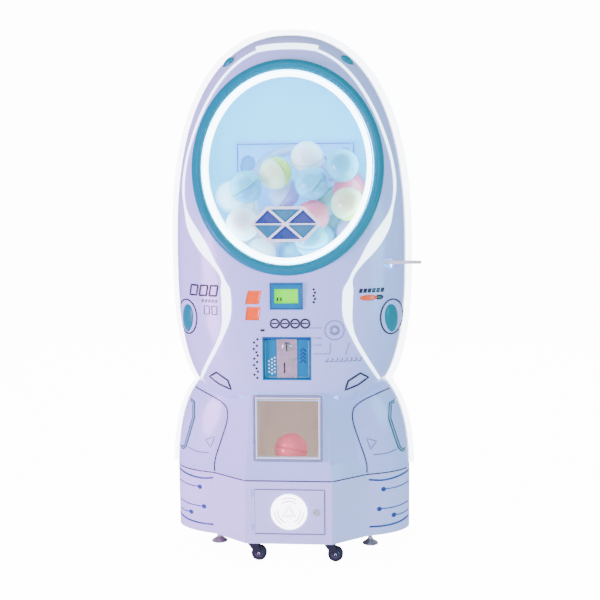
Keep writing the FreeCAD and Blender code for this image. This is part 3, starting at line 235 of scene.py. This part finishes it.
def finish_nodes():
    """Gives every CAD node its finish."""
    finishes = {
        white_shell_painted_light: ("egg_front_shell", "rear_cover", "pod_shell_left", "pod_shell_right",
                      "front_bay_shell", "lever_escutcheon"),
        frame_white_painted_light: ("prize_frame",),
        white_lever: ("side_lever",),
        white_base_painted_light: ("base_shell", "rear_cabinet", "service_door", "rear_door", "dispensing_wheel"),
        halo_light: ("halo_plate",),
        strip_light: ("light_strips",),
        ring_light: ("light_ring",),
        sleeve_light: ("window_sleeve",),
        liner_sheet_painted_glow: ("chamber_liner", "wheel_housing"),
        panel_sheet_painted_glow: ("back_panel",),
        teal_gloss_painted_glow: ("window_bezel",),
        teal_lamp: ("marker_lamps",),
        teal_panel_painted_glow: ("coin_panel", "display_bezel"),
        cream_sheet_painted_glow: ("prize_bin", "capsule_chute"),
        coin_steel: ("coin_plate",),
        chrome: ("coin_entry", "reject_button", "coin_plate_screws", "service_lock", "rear_lock"),
        zinc: ("coin_chute", "cash_box", "base_floor", "lever_bracket", "power_supply",
               "caster_plates"),
        black_plastic: ("coin_acceptor", "power_inlet"),
        motor_paint: ("gear_motor",),
        screen_light: ("display_screen",),
        badge_light: ("service_badge",),
        glass: ("window_pane", "prize_flap"),
        print_white: ("window_label",),
    }
    for material, names in finishes.items():
        for name in names:
            wear(nodes[name], material)
    for corner in CORNERS:
        wear(nodes["levelling_foot_" + corner], chrome)
        wear(nodes["caster_%s_fork" % corner], black_plastic)
        wear(nodes["caster_%s_wheel" % corner], tread)


# ---- mesh pieces ----

def piece(name, verts, faces, material, body="cabinet", smooth=True):
    """A mesh in the machine's own frame that rides on a body."""
    mesh = bpy.data.meshes.new(name)
    mesh.from_pydata([tuple(point) for point in verts], [], faces)
    mesh.validate()
    mesh.polygons.foreach_set("use_smooth", [smooth] * len(mesh.polygons))
    mesh.materials.append(material)
    item = bpy.data.objects.new(name, mesh)
    bpy.context.scene.collection.objects.link(item)
    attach(item, body)
    return item


def bulk(name, parts, material, body="cabinet", smooth=True):
    """Several (verts, faces) parts as one piece."""
    verts, faces = [], []
    for part_verts, part_faces in parts:
        base = len(verts)
        verts.extend(part_verts)
        faces.extend([tuple(base + index for index in face) for face in part_faces])
    return piece(name, verts, faces, material, body, smooth)


def surface_of(*names):
    """A tree of CAD faces that graphics are laid on."""
    verts, faces = [], []
    for name in names:
        mesh = nodes[name].data
        base = len(verts)
        verts.extend(point.co.copy() for point in mesh.vertices)
        faces.extend([base + index for index in face.vertices] for face in mesh.polygons)
    return BVHTree.FromPolygons(verts, faces)


def on_surface(tree, x, z, lift):
    """The point over x, z on the front of a surface, lifted along its normal."""
    place, normal, _, _ = tree.ray_cast(Vector((x, -1.0, z)), Vector((0, 1, 0)))
    if place is None:
        return None
    if normal.y > 0:
        normal = -normal
    return place + normal * lift


def spline_value(p, q, r, s, t):
    """The Catmull-Rom curve between q and r."""
    return 0.5 * (2 * q + (r - p) * t + (2 * p - 5 * q + 4 * r - s) * t ** 2
                  + (3 * q - p - 3 * r + s) * t ** 3)


def rounded_path(points, steps=6):
    """A smooth curve through a few corners."""
    ends = [points[0]] + list(points) + [points[-1]]
    path = []
    for run in zip(ends, ends[1:], ends[2:], ends[3:]):
        for step in range(steps):
            path.append(tuple(spline_value(*axis, step / steps) for axis in zip(*run)))
    path.append(tuple(points[-1]))
    return path


def straight_path(points, gap=0.012):
    """The same corners with points added along each straight."""
    path = []
    for a, b in zip(points, points[1:]):
        count = max(1, round(math.dist(a, b) / gap))
        path += [tuple(p + (q - p) * step / count for p, q in zip(a, b)) for step in range(count)]
    return path + [tuple(points[-1])]


def line_part(tree, path, width, closed=False, lift=GRAPHIC_LIFT):
    """A flat line of closed section along x, z points, laid on a surface."""
    if closed:
        path = path[:-1] if math.dist(path[0], path[-1]) < 1e-6 else path
    count = len(path)
    rows = []
    for index, (x, z) in enumerate(path):
        before = path[index - 1] if closed or index else path[0]
        after = path[(index + 1) % count] if closed or index < count - 1 else path[-1]
        run = Vector((after[0] - before[0], after[1] - before[1])).normalized()
        side = Vector((-run.y, run.x)) * width / 2
        row = []
        for across in (1, -1):
            for height in (lift, -GRAPHIC_SINK):
                row.append(on_surface(tree, x + side.x * across, z + side.y * across, height))
        if None in row:
            continue
        rows.append(row)
    if len(rows) < 2:
        return [], []
    verts = [point for row in rows for point in row]
    faces = []
    steps = len(rows) if closed else len(rows) - 1
    for index in range(steps):
        a, b = 4 * index, 4 * ((index + 1) % len(rows))
        faces += [(a, a + 2, b + 2, b), (a + 1, b + 1, b + 3, a + 3)]
        faces += [(a, b, b + 1, a + 1), (a + 2, a + 3, b + 3, b + 2)]
    if not closed:
        last = 4 * (len(rows) - 1)
        faces += [(0, 1, 3, 2), (last, last + 2, last + 3, last + 1)]
    return verts, faces


def patch_part(tree, outline, rings=3, lift=GRAPHIC_LIFT):
    """A flat convex graphic inside x, z corners, laid on a surface."""
    edge = straight_path(list(outline) + [outline[0]], 0.01)[:-1]
    cx = sum(x for x, _ in outline) / len(outline)
    cz = sum(z for _, z in outline) / len(outline)
    verts, faces = [], []
    for height in (lift, -GRAPHIC_SINK):
        base = len(verts)
        for ring in range(rings):
            share = 1 - ring / rings
            for x, z in edge:
                verts.append(on_surface(tree, cx + (x - cx) * share, cz + (z - cz) * share, height))
        verts.append(on_surface(tree, cx, cz, height))
        hub, count = len(verts) - 1, len(edge)
        for ring in range(rings - 1):
            for index in range(count):
                a, b = base + ring * count + index, base + ring * count + (index + 1) % count
                faces.append((a, b, b + count, a + count))
        last = base + (rings - 1) * count
        faces += [(last + index, last + (index + 1) % count, hub) for index in range(count)]
    half, count = len(verts) // 2, len(edge)
    for index in range(count):
        ahead = (index + 1) % count
        faces.append((index, ahead, half + ahead, half + index))
    if None in verts:
        return [], []
    return verts, faces


def ring_points(x, z, radius, count=24, start=0.0, sweep=FULL_TURN, squash=1.0):
    """Points on a ring or a part of one, squashed in height."""
    turns = [start + sweep * step / count for step in range(count + (sweep < FULL_TURN))]
    return [(x + radius * math.cos(turn), z + radius * squash * math.sin(turn)) for turn in turns]


def mirrored(points, side):
    """The same points on one side of the machine."""
    return [(side * x, z) for x, z in points]


def lathe_part(profile, centre, axis, count=28):
    """A closed turned part from (radius, along) points whose first and last radius is 0."""
    pose = Vector((0, 0, 1)).rotation_difference(Vector(axis)).to_matrix()
    centre = Vector(centre)
    verts = [centre + pose @ Vector((0, 0, profile[0][1]))]
    inner = profile[1:-1]
    for radius, along in inner:
        for step in range(count):
            turn = FULL_TURN * step / count
            spot = Vector((radius * math.cos(turn), radius * math.sin(turn), along))
            verts.append(centre + pose @ spot)
    verts.append(centre + pose @ Vector((0, 0, profile[-1][1])))
    faces = [(0, 1 + (step + 1) % count, 1 + step) for step in range(count)]
    for ring in range(len(inner) - 1):
        for step in range(count):
            a, b = 1 + ring * count + step, 1 + ring * count + (step + 1) % count
            faces.append((a, b, b + count, a + count))
    base, tip = 1 + (len(inner) - 1) * count, len(verts) - 1
    faces += [(base + step, base + (step + 1) % count, tip) for step in range(count)]
    return verts, faces


def slanted(x, z, wide, tall, lean=0.0):
    """Corners of a block that leans, from its lower left one."""
    return [(x, z), (x + wide, z), (x + wide + lean, z + tall), (x + lean, z + tall)]


def outline_of(corners, gap=0.012):
    """A closed path through corners."""
    return straight_path(corners + corners[:1], gap)


def frame_corners(low, high, inset):
    """A path round a box's front, held in from its edges."""
    return outline_of([(low.x + inset, low.z + inset), (high.x - inset, low.z + inset),
                       (high.x - inset, high.z - inset), (low.x + inset, high.z - inset)])


# ---- graphics laid on the shells ----

def shell_graphics():
    """Lines, dots and arcs on egg, pods, bay and base."""
    pods = surface_of("pod_shell_left", "pod_shell_right", "front_bay_shell")
    base = surface_of("base_shell")
    egg = surface_of("egg_front_shell")
    outline = rounded_path([(0.326, 0.551), (0.296, 0.545), (0.246, 0.528), (0.215, 0.509),
                            (0.204, 0.486), (0.207, 0.452), (0.226, 0.393), (0.244, 0.340),
                            (0.250, 0.310), (0.250, 0.289)])
    hexagon = straight_path([(0.350, 0.512), (0.326, 0.505), (0.324, 0.458), (0.340, 0.407),
                             (0.356, 0.358), (0.366, 0.347), (0.384, 0.349)])
    arrow = outline_of([(0.249, 0.402), (0.281, 0.390), (0.262, 0.366)])
    arc = rounded_path([(0.271, 0.347), (0.312, 0.347), (0.347, 0.355)])
    blade = outline_of([(0.182, 0.573), (0.192, 0.604), (0.230, 0.627), (0.256, 0.610),
                        (0.223, 0.588)])
    top_arc = rounded_path([(0.256, 0.265), (0.300, 0.259), (0.343, 0.262), (0.374, 0.268),
                            (0.388, 0.272)])
    low_arc = rounded_path([(0.258, 0.106), (0.305, 0.104), (0.348, 0.106), (0.378, 0.112),
                            (0.389, 0.116)])
    circuits = [[(0.304, 0.228), (0.345, 0.228), (0.387, 0.233)],
                [(0.290, 0.163), (0.339, 0.162), (0.386, 0.166)],
                [(0.338, 0.135), (0.365, 0.133), (0.386, 0.137)]]
    seam = straight_path([(-0.390, 0.2830), (0.390, 0.2830)])
    dark, teal, navy, pale, grey, faint = [line_part(base, seam, 0.0034)], [], [], [], [], []
    for side in (LEFT, RIGHT):
        dark.append(line_part(pods, mirrored(outline, side), 0.0036))
        teal.append(line_part(pods, mirrored(hexagon, side), 0.0105))
        pale.append(line_part(pods, mirrored(hexagon, side), 0.0036, lift=0.0018))
        lamp = ring_points(side * 0.331, 0.800, 0.037, 40, squash=1.52)
        dark.append(line_part(egg, lamp, 0.0045, closed=True))
        grey.append(line_part(pods, mirrored(arrow, side), 0.0022, closed=True))
        grey.append(line_part(pods, mirrored(arc, side), 0.0024))
        dark.append(line_part(egg, mirrored(blade, side), 0.0058, closed=True))
        navy.append(line_part(base, mirrored(top_arc, side), 0.0055))
        navy.append(line_part(base, mirrored(low_arc, side), 0.0055))
        for points in circuits:
            navy.append(line_part(base, mirrored(rounded_path(points), side), 0.0030))
            end_x, end_z = points[0]
            navy.append(patch_part(base, ring_points(side * end_x, end_z, 0.0075), lift=0.0016))
    dot = 0.0038
    for row in range(5):
        x, z = 0.086 + 0.004 * (row % 2), 0.897 - 0.010 * row
        dark.append(patch_part(egg, ring_points(x, z, dot, 10), 2))
    for row in range(13):
        shift = (0.0, 0.011, 0.002, 0.012, 0.004)[row % 5]
        dark.append(patch_part(egg, ring_points(-0.092 - shift, 0.740 - 0.0103 * row, dot, 10), 2))
    for z in (0.776, 0.744, 0.722):
        faint.append(line_part(egg, straight_path([(0.070, z), (0.110, z)]), 0.0024))
    for radius, count, width in ((0.030, 36, 0.0030), (0.012, 20, 0.0080)):
        faint.append(line_part(egg, ring_points(0.150, 0.768, radius, count), width, closed=True))
    for start, end in (((0.136, 0.728), (0.136, 0.694)), ((0.136, 0.694), (0.072, 0.694)),
                       ((0.196, 0.728), (0.184, 0.690))):
        faint.append(line_part(egg, straight_path([start, end]), 0.0024))
    # Painted shade: a dark grey line just inside the service door's edge, for the gap's shadow.
    door = surface_of("service_door")
    rim = line_part(door, frame_corners(*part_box("service_door"), 0.003), 0.0030, closed=True)
    bulk("service_door_gap_shade", [rim], line_grey, "service_door")
    bulk("shell_lines_faint", faint, line_faint)
    bulk("shell_lines_dark", dark, line_dark)
    bulk("shell_lines_teal", teal, line_teal)
    bulk("shell_lines_navy", navy, line_blue)
    bulk("shell_lines_pale", pale, line_pale)
    bulk("shell_lines_grey", grey, line_grey)


def plain_marks():
    """Plain shapes where a machine like this has its name and slogans."""
    egg = surface_of("egg_front_shell")
    dark, grey, orange = [], [], []
    for number in range(3):
        block = slanted(-0.317 + 0.034 * number, 0.874, 0.024, 0.032, 0.006)
        dark.append(line_part(egg, outline_of(block, 0.006), 0.0055, closed=True))
    for number in range(5):
        block = slanted(-0.276 + 0.0115 * number, 0.852, 0.007, 0.010, 0.002)
        grey.append(patch_part(egg, block, 2))
    for number in range(2):
        block = slanted(-0.266 + 0.026 * number, 0.815, 0.017, 0.026)
        grey.append(line_part(egg, outline_of(block, 0.006), 0.003, closed=True))
    for number in range(4):
        x = -0.037 + 0.032 * number
        dark.append(line_part(egg, ring_points(x, 0.790, 0.0135, 20), 0.0055, closed=True))
        dark.append(patch_part(egg, slanted(x - 0.010, 0.7885, 0.020, 0.004), 2))
    dark.append(patch_part(egg, slanted(-0.082, 0.765, 0.013, 0.007), 2))
    for number in range(6):
        block = slanted(0.226 + 0.0135 * number, 0.883, 0.010, 0.013, 0.003)
        dark.append(patch_part(egg, block, 2))
    orange.append(patch_part(egg, ring_points(0.256, 0.867, 0.027, 20, squash=0.34), 3))
    dark.append(patch_part(egg, ring_points(0.290, 0.867, 0.013, 16, squash=0.6), 2))
    for number in range(8):
        x = 0.119 + 0.0148 * number
        tick = straight_path([(x, 0.669), (x + 0.009, 0.669), (x + 0.011, 0.680)], 0.005)
        grey.append(line_part(egg, tick, 0.0025))
    for low, lean in ((0.800, 0.006), (0.851, 0.010)):
        orange.append(patch_part(egg, slanted(-0.131, low, 0.044, 0.042, lean), 3))
    bulk("plain_marks_dark", dark, line_dark)
    bulk("plain_marks_grey", grey, line_grey)
    bulk("plain_marks_orange", orange, print_orange)


def window_card():
    """Six triangles with pale gaps on the card behind the window."""
    card = surface_of("window_label")
    low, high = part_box("window_label")
    cx, cz = (low.x + high.x) / 2, (low.z + high.z) / 2
    wide, rise = (high.x - low.x) / 2 - 0.006, (high.z - low.z) / 2 - 0.006
    top = wide * 0.53
    shrink = 0.84
    rim = [(wide, 0), (top, rise), (-top, rise), (-wide, 0), (-top, -rise), (top, -rise)]
    groups = {True: [], False: []}
    for index in range(6):
        a, b = rim[index], rim[(index + 1) % 6]
        mx, mz = (a[0] + b[0]) / 3, (a[1] + b[1]) / 3
        corners = [(cx + mx + (x - mx) * shrink, cz + mz + (z - mz) * shrink)
                   for x, z in (a, b, (0, 0))]
        groups[index % 2 == 0].append(patch_part(card, corners, 3))
    bulk("window_card_navy", groups[True], print_navy)
    bulk("window_card_teal", groups[False], print_teal)


def chamber_graphics():
    """Blue drops, a pale arc and a fine frame on the back wall of the capsule chamber."""
    wall = surface_of("back_panel")
    # Painted light: the blue drops and lilac arc glow over their printed colour, though no lamps.
    blue = printed("drop_blue", (0.0, 0.30, 0.62), glow=0.25)
    lilac = printed("arc_lilac", (0.36, 0.50, 0.78), glow=0.15)
    drops = []
    drop = ring_points(0, 0, 0.026, 18, 0.0, math.pi)
    drop += [(-0.016, -0.022), (0.004, -0.046), (0.022, -0.020)]
    for x, z, lean in ((-0.167, 1.297, -0.7), (0.171, 1.321, 0.0)):
        turn = Matrix.Rotation(lean, 2)
        spots = [Vector((x, z)) + turn @ Vector(at) for at in drop]
        drops.append(patch_part(wall, [tuple(spot) for spot in spots], 3))
    bulk("chamber_drops", drops, blue)
    band = ring_points(-0.010, 1.190, 0.150, 30, 0.3, 2.5)
    bulk("chamber_arc", [line_part(wall, band, 0.034)], lilac)
    wedge = patch_part(wall, [(0.100, 1.322), (0.131, 1.295), (0.113, 1.286)], 3)
    bulk("chamber_wedge", [wedge], line_grey)
    low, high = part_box("back_panel")
    inset = 0.012
    edge = [(low.x + inset, low.z + inset), (low.x + inset, high.z - inset),
            (high.x - inset, high.z - inset), (high.x - inset, low.z + inset)]
    bulk("chamber_frame", [line_part(wall, straight_path(edge, 0.02), 0.0028)], line_blue)


def opening_graphics():
    """A pale painted highlight on the lip and a darker painted shade band round the prize opening.
    """
    rim = surface_of("prize_frame")
    low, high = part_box("prize_frame")
    # Painted shade: the darker outer band; painted highlight: the pale lip line.
    band = line_part(rim, frame_corners(low, high, 0.0060), 0.0085, closed=True)
    lip = line_part(rim, frame_corners(low, high, 0.0128), 0.0030, closed=True)
    bulk("prize_frame_shade_band", [band], line_faint)
    bulk("prize_frame_lip_highlight", [lip], print_white)


def coin_graphics():
    """Pale dots and chevrons on the teal panel; painted shade lines at panel and display edges, and
    a painted highlight line inside the panel's edge.
    """
    panel = surface_of("coin_panel")
    low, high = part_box("coin_panel")
    plate_low, plate_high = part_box("coin_plate")
    dots, chevrons = [], []
    middle = (low.x + plate_low.x) / 2 + 0.006
    for row in range(5):
        for column in (-1, 0, 1) if row < 4 else (0, 1):
            z = plate_low.z + 0.014 + 0.0115 * row + 0.005 * (column % 2)
            dots.append(patch_part(panel, ring_points(middle + 0.009 * column, z, 0.0029, 8), 2))
    right = (high.x + plate_high.x) / 2 - 0.004
    for row in range(4):
        z = plate_high.z - 0.036 - 0.012 * row
        points = [(right - 0.009, z - 0.006), (right, z + 0.003), (right + 0.009, z - 0.006)]
        chevrons.append(line_part(panel, straight_path(points, 0.004), 0.0034))
    bulk("coin_panel_dots", dots, print_white)
    bulk("coin_panel_chevrons", chevrons, print_navy)
    bezel = surface_of("display_bezel")
    edge = 0.0028
    # Painted shade: dark lines inside display bezel and panel edges, a wider band under its top.
    shade = [line_part(bezel, frame_corners(*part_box("display_bezel"), edge), 0.0024, closed=True)]
    shade.append(line_part(panel, frame_corners(low, high, edge), 0.0030, closed=True))
    top_shade_path = straight_path([(low.x + 0.003, high.z - 0.006), (high.x - 0.003, high.z - 0.006)])
    shade.append(line_part(panel, top_shade_path, 0.007))
    bulk("panel_shade_lines", shade, print_navy)
    # Painted highlight: a pale line inside the coin panel's edge, where its bevel meets light.
    edge_highlight = [line_part(panel, frame_corners(low, high, 0.0075), 0.0022, closed=True)]
    bulk("coin_panel_edge_highlight", edge_highlight, line_pale)


def badge_graphics():
    """A triangle inside broken rings on the lit round badge."""
    badge = surface_of("service_badge")
    low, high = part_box("service_badge")
    cx, cz = (low.x + high.x) / 2, (low.z + high.z) / 2
    radius = (high.x - low.x) / 2
    marks = []
    thirds = [FULL_TURN * number / 3 for number in range(3)]
    for share in (0.44, 0.27):
        reach = radius * share
        corners = [(cx + reach * math.sin(turn), cz - 0.002 + reach * math.cos(turn))
                   for turn in thirds]
        marks.append(line_part(badge, outline_of(corners, 0.006), 0.0022, closed=True))
    for share, half in ((0.62, 0.7), (0.80, 0.5)):
        for turn in thirds:
            arc = ring_points(cx, cz, radius * share, 14, math.pi / 2 + turn - half, 2 * half)
            marks.append(line_part(badge, arc, 0.0035))
    bulk("badge_emblem", marks, badge_mark, "service_door")


def screen_marks():
    """Two short bars of display ink."""
    screen = surface_of("display_screen")
    low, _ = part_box("display_screen")
    starts = [low.x + 0.012 + 0.011 * number for number in range(2)]
    bars = [patch_part(screen, slanted(x, low.z + 0.012, 0.006, 0.012), 2, 0.0007) for x in starts]
    bulk("display_ink", bars, screen_ink)


# ---- capsules ----

def islands(item):
    """The middle and radius of every separate ball in a node."""
    keys, parent = {}, []

    def root(index):
        while parent[index] != index:
            parent[index] = parent[parent[index]]
            index = parent[index]
        return index

    spots = []
    for point in item.data.vertices:
        key = tuple(round(part, 5) for part in point.co)
        if key not in keys:
            keys[key] = len(parent)
            parent.append(len(parent))
            spots.append(point.co.copy())
    index_of = [keys[tuple(round(part, 5) for part in point.co)] for point in item.data.vertices]
    for face in item.data.polygons:
        corners = [root(index_of[index]) for index in face.vertices]
        for corner in corners[1:]:
            parent[root(corner)] = root(corners[0])
    groups = {}
    for index, spot in enumerate(spots):
        groups.setdefault(root(index), []).append(spot)
    balls = []
    for group in groups.values():
        low = Vector(min(spot[axis] for spot in group) for axis in range(3))
        high = Vector(max(spot[axis] for spot in group) for axis in range(3))
        balls.append(((low + high) / 2, (high.z - low.z) / 2))
    return sorted(balls, key=lambda ball: tuple(round(ball[0][axis], 3) for axis in (1, 0, 2)))


def dome(radius, rows=9):
    """Half of a capsule along +Z from its join, with a rolled lip."""
    turns = [math.pi / 2 * row / rows for row in range(rows)]
    arc = [(radius * math.cos(turn), radius * math.sin(turn)) for turn in turns]
    return [(0.0, 0.0005), (radius * 0.985, 0.0005)] + arc + [(0.0, radius * 0.9995)]


CAPSULE_COLORS = {
    "white": ((0.62, 0.86, 0.92), (0.80, 0.93, 0.97)),
    "cyan": ((0.0, 0.36, 0.66), (0.05, 0.62, 0.84)),
    "lilac": ((0.26, 0.28, 0.78), (0.48, 0.56, 0.92)),
    "pink": ((0.90, 0.10, 0.20), (0.92, 0.26, 0.40)),
    "lime": ((0.46, 0.78, 0.08), (0.74, 0.92, 0.60)),
    "teal": ((0.02, 0.34, 0.40), (0.10, 0.52, 0.58)),
}


# x, z of the capsules in sight, and the colour of each
CAPSULE_PLACES = (
    (0.052, 1.312, "white"), (0.071, 1.223, "cyan"), (-0.052, 1.260, "lime"),
    (-0.147, 1.211, "cyan"), (-0.033, 1.194, "lilac"), (0.187, 1.205, "pink"),
    (0.171, 1.281, "cyan"), (-0.230, 1.152, "white"), (-0.149, 1.095, "white"),
    (0.073, 1.116, "pink"), (0.114, 1.136, "teal"), (0.190, 1.142, "lime"),
    (0.190, 1.069, "lilac"), (0.073, 1.019, "cyan"), (-0.113, 1.000, "white"))
CUP_SHARE = 0.985           # the cup's radius, as a share of the cap's


def capsule_color(centre):
    """The colour of the nearest capsule in sight."""
    spot = (centre.x, centre.z)
    return min(CAPSULE_PLACES, key=lambda place: math.dist(place[:2], spot))[2]


def capsule_halves(centre, radius, axis, count):
    """Cap and cup of one capsule, joined across its axis."""
    cap = lathe_part(dome(radius), centre, axis, count)
    cup = lathe_part(dome(radius * CUP_SHARE), centre, -axis, count)
    return cap, cup


def rebuild_capsules():
    """Two-part capsules at the CAD balls' places: a coloured cup and a paler cap."""
    dice = random.Random(11)
    cups, caps = {}, {}
    for centre, radius in islands(nodes["capsules_in_chamber"]):
        color = capsule_color(centre)
        ranges = ((-0.7, 0.7), (-0.9, -0.1), (-0.5, 1.0))
        axis = Vector([dice.uniform(low, high) for low, high in ranges]).normalized()
        cap, cup = capsule_halves(centre, radius, axis, 26)
        caps.setdefault(color, []).append(cap)
        cups.setdefault(color, []).append(cup)
    for color, parts in sorted(cups.items()):
        deep, pale = CAPSULE_COLORS[color]
        # Painted light: cups and caps glow though they are no lamps.
        cup_paint = Paint("capsule_cup_" + color, deep, 0.16, coat=0.3, glow=0.35)
        cup_paint.vary(0.05, 9).bump(300, 0.03)
        cap_paint = Paint("capsule_cap_" + color, pale, 0.08, coat=0.4, glow=0.35)
        cap_paint.clear(0.8).vary(0.03, 9).bump(300, 0.03)
        for name, group, paint in (("cups", parts, cup_paint), ("caps", caps[color], cap_paint)):
            item = bulk("capsule_%s_%s" % (name, color), group, paint.material)
            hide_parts("capsules_in_chamber")
    centre, radius = islands(nodes["prize_capsule"])[0]
    # Painted light: the prize capsule glows too.
    pink = Paint("capsule_prize", (0.86, 0.13, 0.16), 0.2, coat=0.3, glow=0.35)
    pink.vary(0.04, 9).bump(300, 0.03)
    halves = capsule_halves(centre, radius, Vector((0.2, 0.3, 0.9)), 36)
    item = bulk("prize_capsule_shell", halves, pink.material)
    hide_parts("prize_capsule")


# ---- small hardware ----

def caster_caps():
    """Glossy hub caps and pale axle ends on both faces of every wheel."""
    hub = [(0.0, -0.002), (0.0150, -0.002), (0.0150, 0.0), (0.0125, 0.0022), (0.0060, 0.0034),
           (0.0, 0.0037)]
    tip = [(0.0, 0.0010), (0.0042, 0.0010), (0.0042, 0.0040), (0.0030, 0.0048), (0.0, 0.0050)]
    paint = Paint("hub_cap", (0.05, 0.055, 0.09), 0.12, coat=0.6)
    cap = paint.vary(0.1, 60).bump(400, 0.05).material
    for corner in CORNERS:
        name = "caster_%s_wheel" % corner
        low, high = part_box(name)
        middle = (low + high) / 2
        size = high - low
        axis = min(range(3), key=lambda index: size[index])
        out = Vector(1.0 if index == axis else 0.0 for index in range(3))
        hubs, ends = [], []
        for way in (1, -1):
            face = middle + out * way * size[axis] / 2
            hubs.append(lathe_part(hub, face, out * way, 28))
            ends.append(lathe_part(tip, face, out * way, 20))
        bulk("hub_caps_" + corner, hubs, cap, name)
        bulk("axle_ends_" + corner, ends, print_white, name)


def rear_details():
    """Louvres on the rear door."""
    low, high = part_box("rear_door")
    half_wide, half_tall, pitch = 0.085, 0.007, 0.028
    outline = [(-half_wide, -half_tall), (half_wide, -half_tall), (half_wide, half_tall),
               (-half_wide, half_tall)]
    faces = [(0, 3, 2, 1), (4, 5, 6, 7), (0, 1, 5, 4), (1, 2, 6, 5), (2, 3, 7, 6), (3, 0, 4, 7)]
    slots = []
    for row in range(6):
        z = low.z + 0.09 + pitch * row
        corners = [(x, high.y + lift, z + dz) for lift in (-0.001, 0.0012) for x, dz in outline]
        slots.append((corners, faces))
    bulk("rear_door_louvres", slots, black_plastic, "rear_door", False)


# ---- studio ----

def soft_light(name, place, wide, power, color):
    """A round area light that points at the machine's middle."""
    lamp = bpy.data.lights.new(name, "AREA")
    lamp.shape = "DISK"
    lamp.size = wide
    lamp.energy = power
    lamp.color = color
    item = bpy.data.objects.new(name, lamp)
    item.location = place
    aim = Vector((0.0, 0.0, 0.85)) - Vector(place)
    item.rotation_euler = aim.to_track_quat("-Z", "Y").to_euler()
    bpy.context.scene.collection.objects.link(item)


def seen_directly(paint_tree):
    """1 where the camera sees a surface itself, and 0 for the light that it gives."""
    return paint_tree.nodes.new("ShaderNodeLightPath").outputs["Is Camera Ray"]


def studio():
    """A pale floor and air, and four soft lights."""
    floor_paint = Paint("studio_floor", (0.90, 0.90, 0.93), 0.6).vary(0.01, 0.5).bump(3, 0.02)
    floor_paint.set("Emission Color", (1.0, 1.0, 1.0, 1.0))
    gain = floor_paint.node("ShaderNodeMath", operation="MULTIPLY")
    gain.inputs[1].default_value = STAGE_GLOW
    floor_paint.link(seen_directly(floor_paint.tree), gain.inputs[0])
    floor_paint.link(gain.outputs["Value"], floor_paint.shader.inputs["Emission Strength"])
    far = FLOOR_HALF
    mesh = bpy.data.meshes.new("studio_floor")
    corners = [(-far, -far, 0), (far, -far, 0), (far, far, 0), (-far, far, 0)]
    mesh.from_pydata(corners, [], [(0, 1, 2, 3)])
    mesh.materials.append(floor_paint.material)
    floor = bpy.data.objects.new("studio_floor", mesh)
    bpy.context.scene.collection.objects.link(floor)
    world = bpy.data.worlds.new("studio_air")
    world.use_nodes = True
    air = world.node_tree
    air.nodes["Background"].inputs["Color"].default_value = (0.95, 0.97, 1.0, 1.0)
    gain = air.nodes.new("ShaderNodeMath")
    gain.operation = "MULTIPLY_ADD"
    gain.inputs[1].default_value = STAGE_GLOW
    gain.inputs[2].default_value = AIR_LIGHT
    air.links.new(seen_directly(air), gain.inputs[0])
    air.links.new(gain.outputs["Value"], air.nodes["Background"].inputs["Strength"])
    bpy.context.scene.world = world
    soft_light("lavender_side", (-2.6, -2.1, 0.7), 1.2, 150, (1.0, 0.42, 1.0))
    soft_light("cyan_side", (2.8, -1.7, 1.0), 1.2, 45, (0.15, 0.70, 1.0))
    soft_light("front_soft", (0.1, -4.2, 2.6), 2.6, 62, (0.90, 0.94, 1.0))
    soft_light("rear_soft", (0.0, 3.6, 2.6), 2.6, 60, (0.95, 0.97, 1.0))


def camera():
    """Seen from a little to the right, slightly above the middle."""
    heading, dip, roll = math.radians(4.37), math.radians(6.75), math.radians(-0.55)
    ahead = Vector((-math.sin(heading), math.cos(heading), 0))
    up = Vector((0, 0, 1))
    right = Vector((math.cos(heading), math.sin(heading), 0))
    forward = ahead * math.cos(dip) - up * math.sin(dip)
    top = ahead * math.sin(dip) + up * math.cos(dip)
    across = right * math.cos(roll) + top * math.sin(roll)
    over = top * math.cos(roll) - right * math.sin(roll)
    lens = bpy.data.cameras.new("studio_camera")
    lens.sensor_width = 36
    lens.lens = 60.6
    item = bpy.data.objects.new("studio_camera", lens)
    turn = Matrix((across, over, -forward)).transposed()
    item.matrix_world = Matrix.Translation((0.282, -3.440, 1.235)) @ turn.to_4x4()
    bpy.context.scene.collection.objects.link(item)
    bpy.context.scene.camera = item


finish_nodes()
shell_graphics()
plain_marks()
window_card()
chamber_graphics()
coin_graphics()
opening_graphics()
badge_graphics()
screen_marks()
rebuild_capsules()
caster_caps()
rear_details()
studio()
camera()
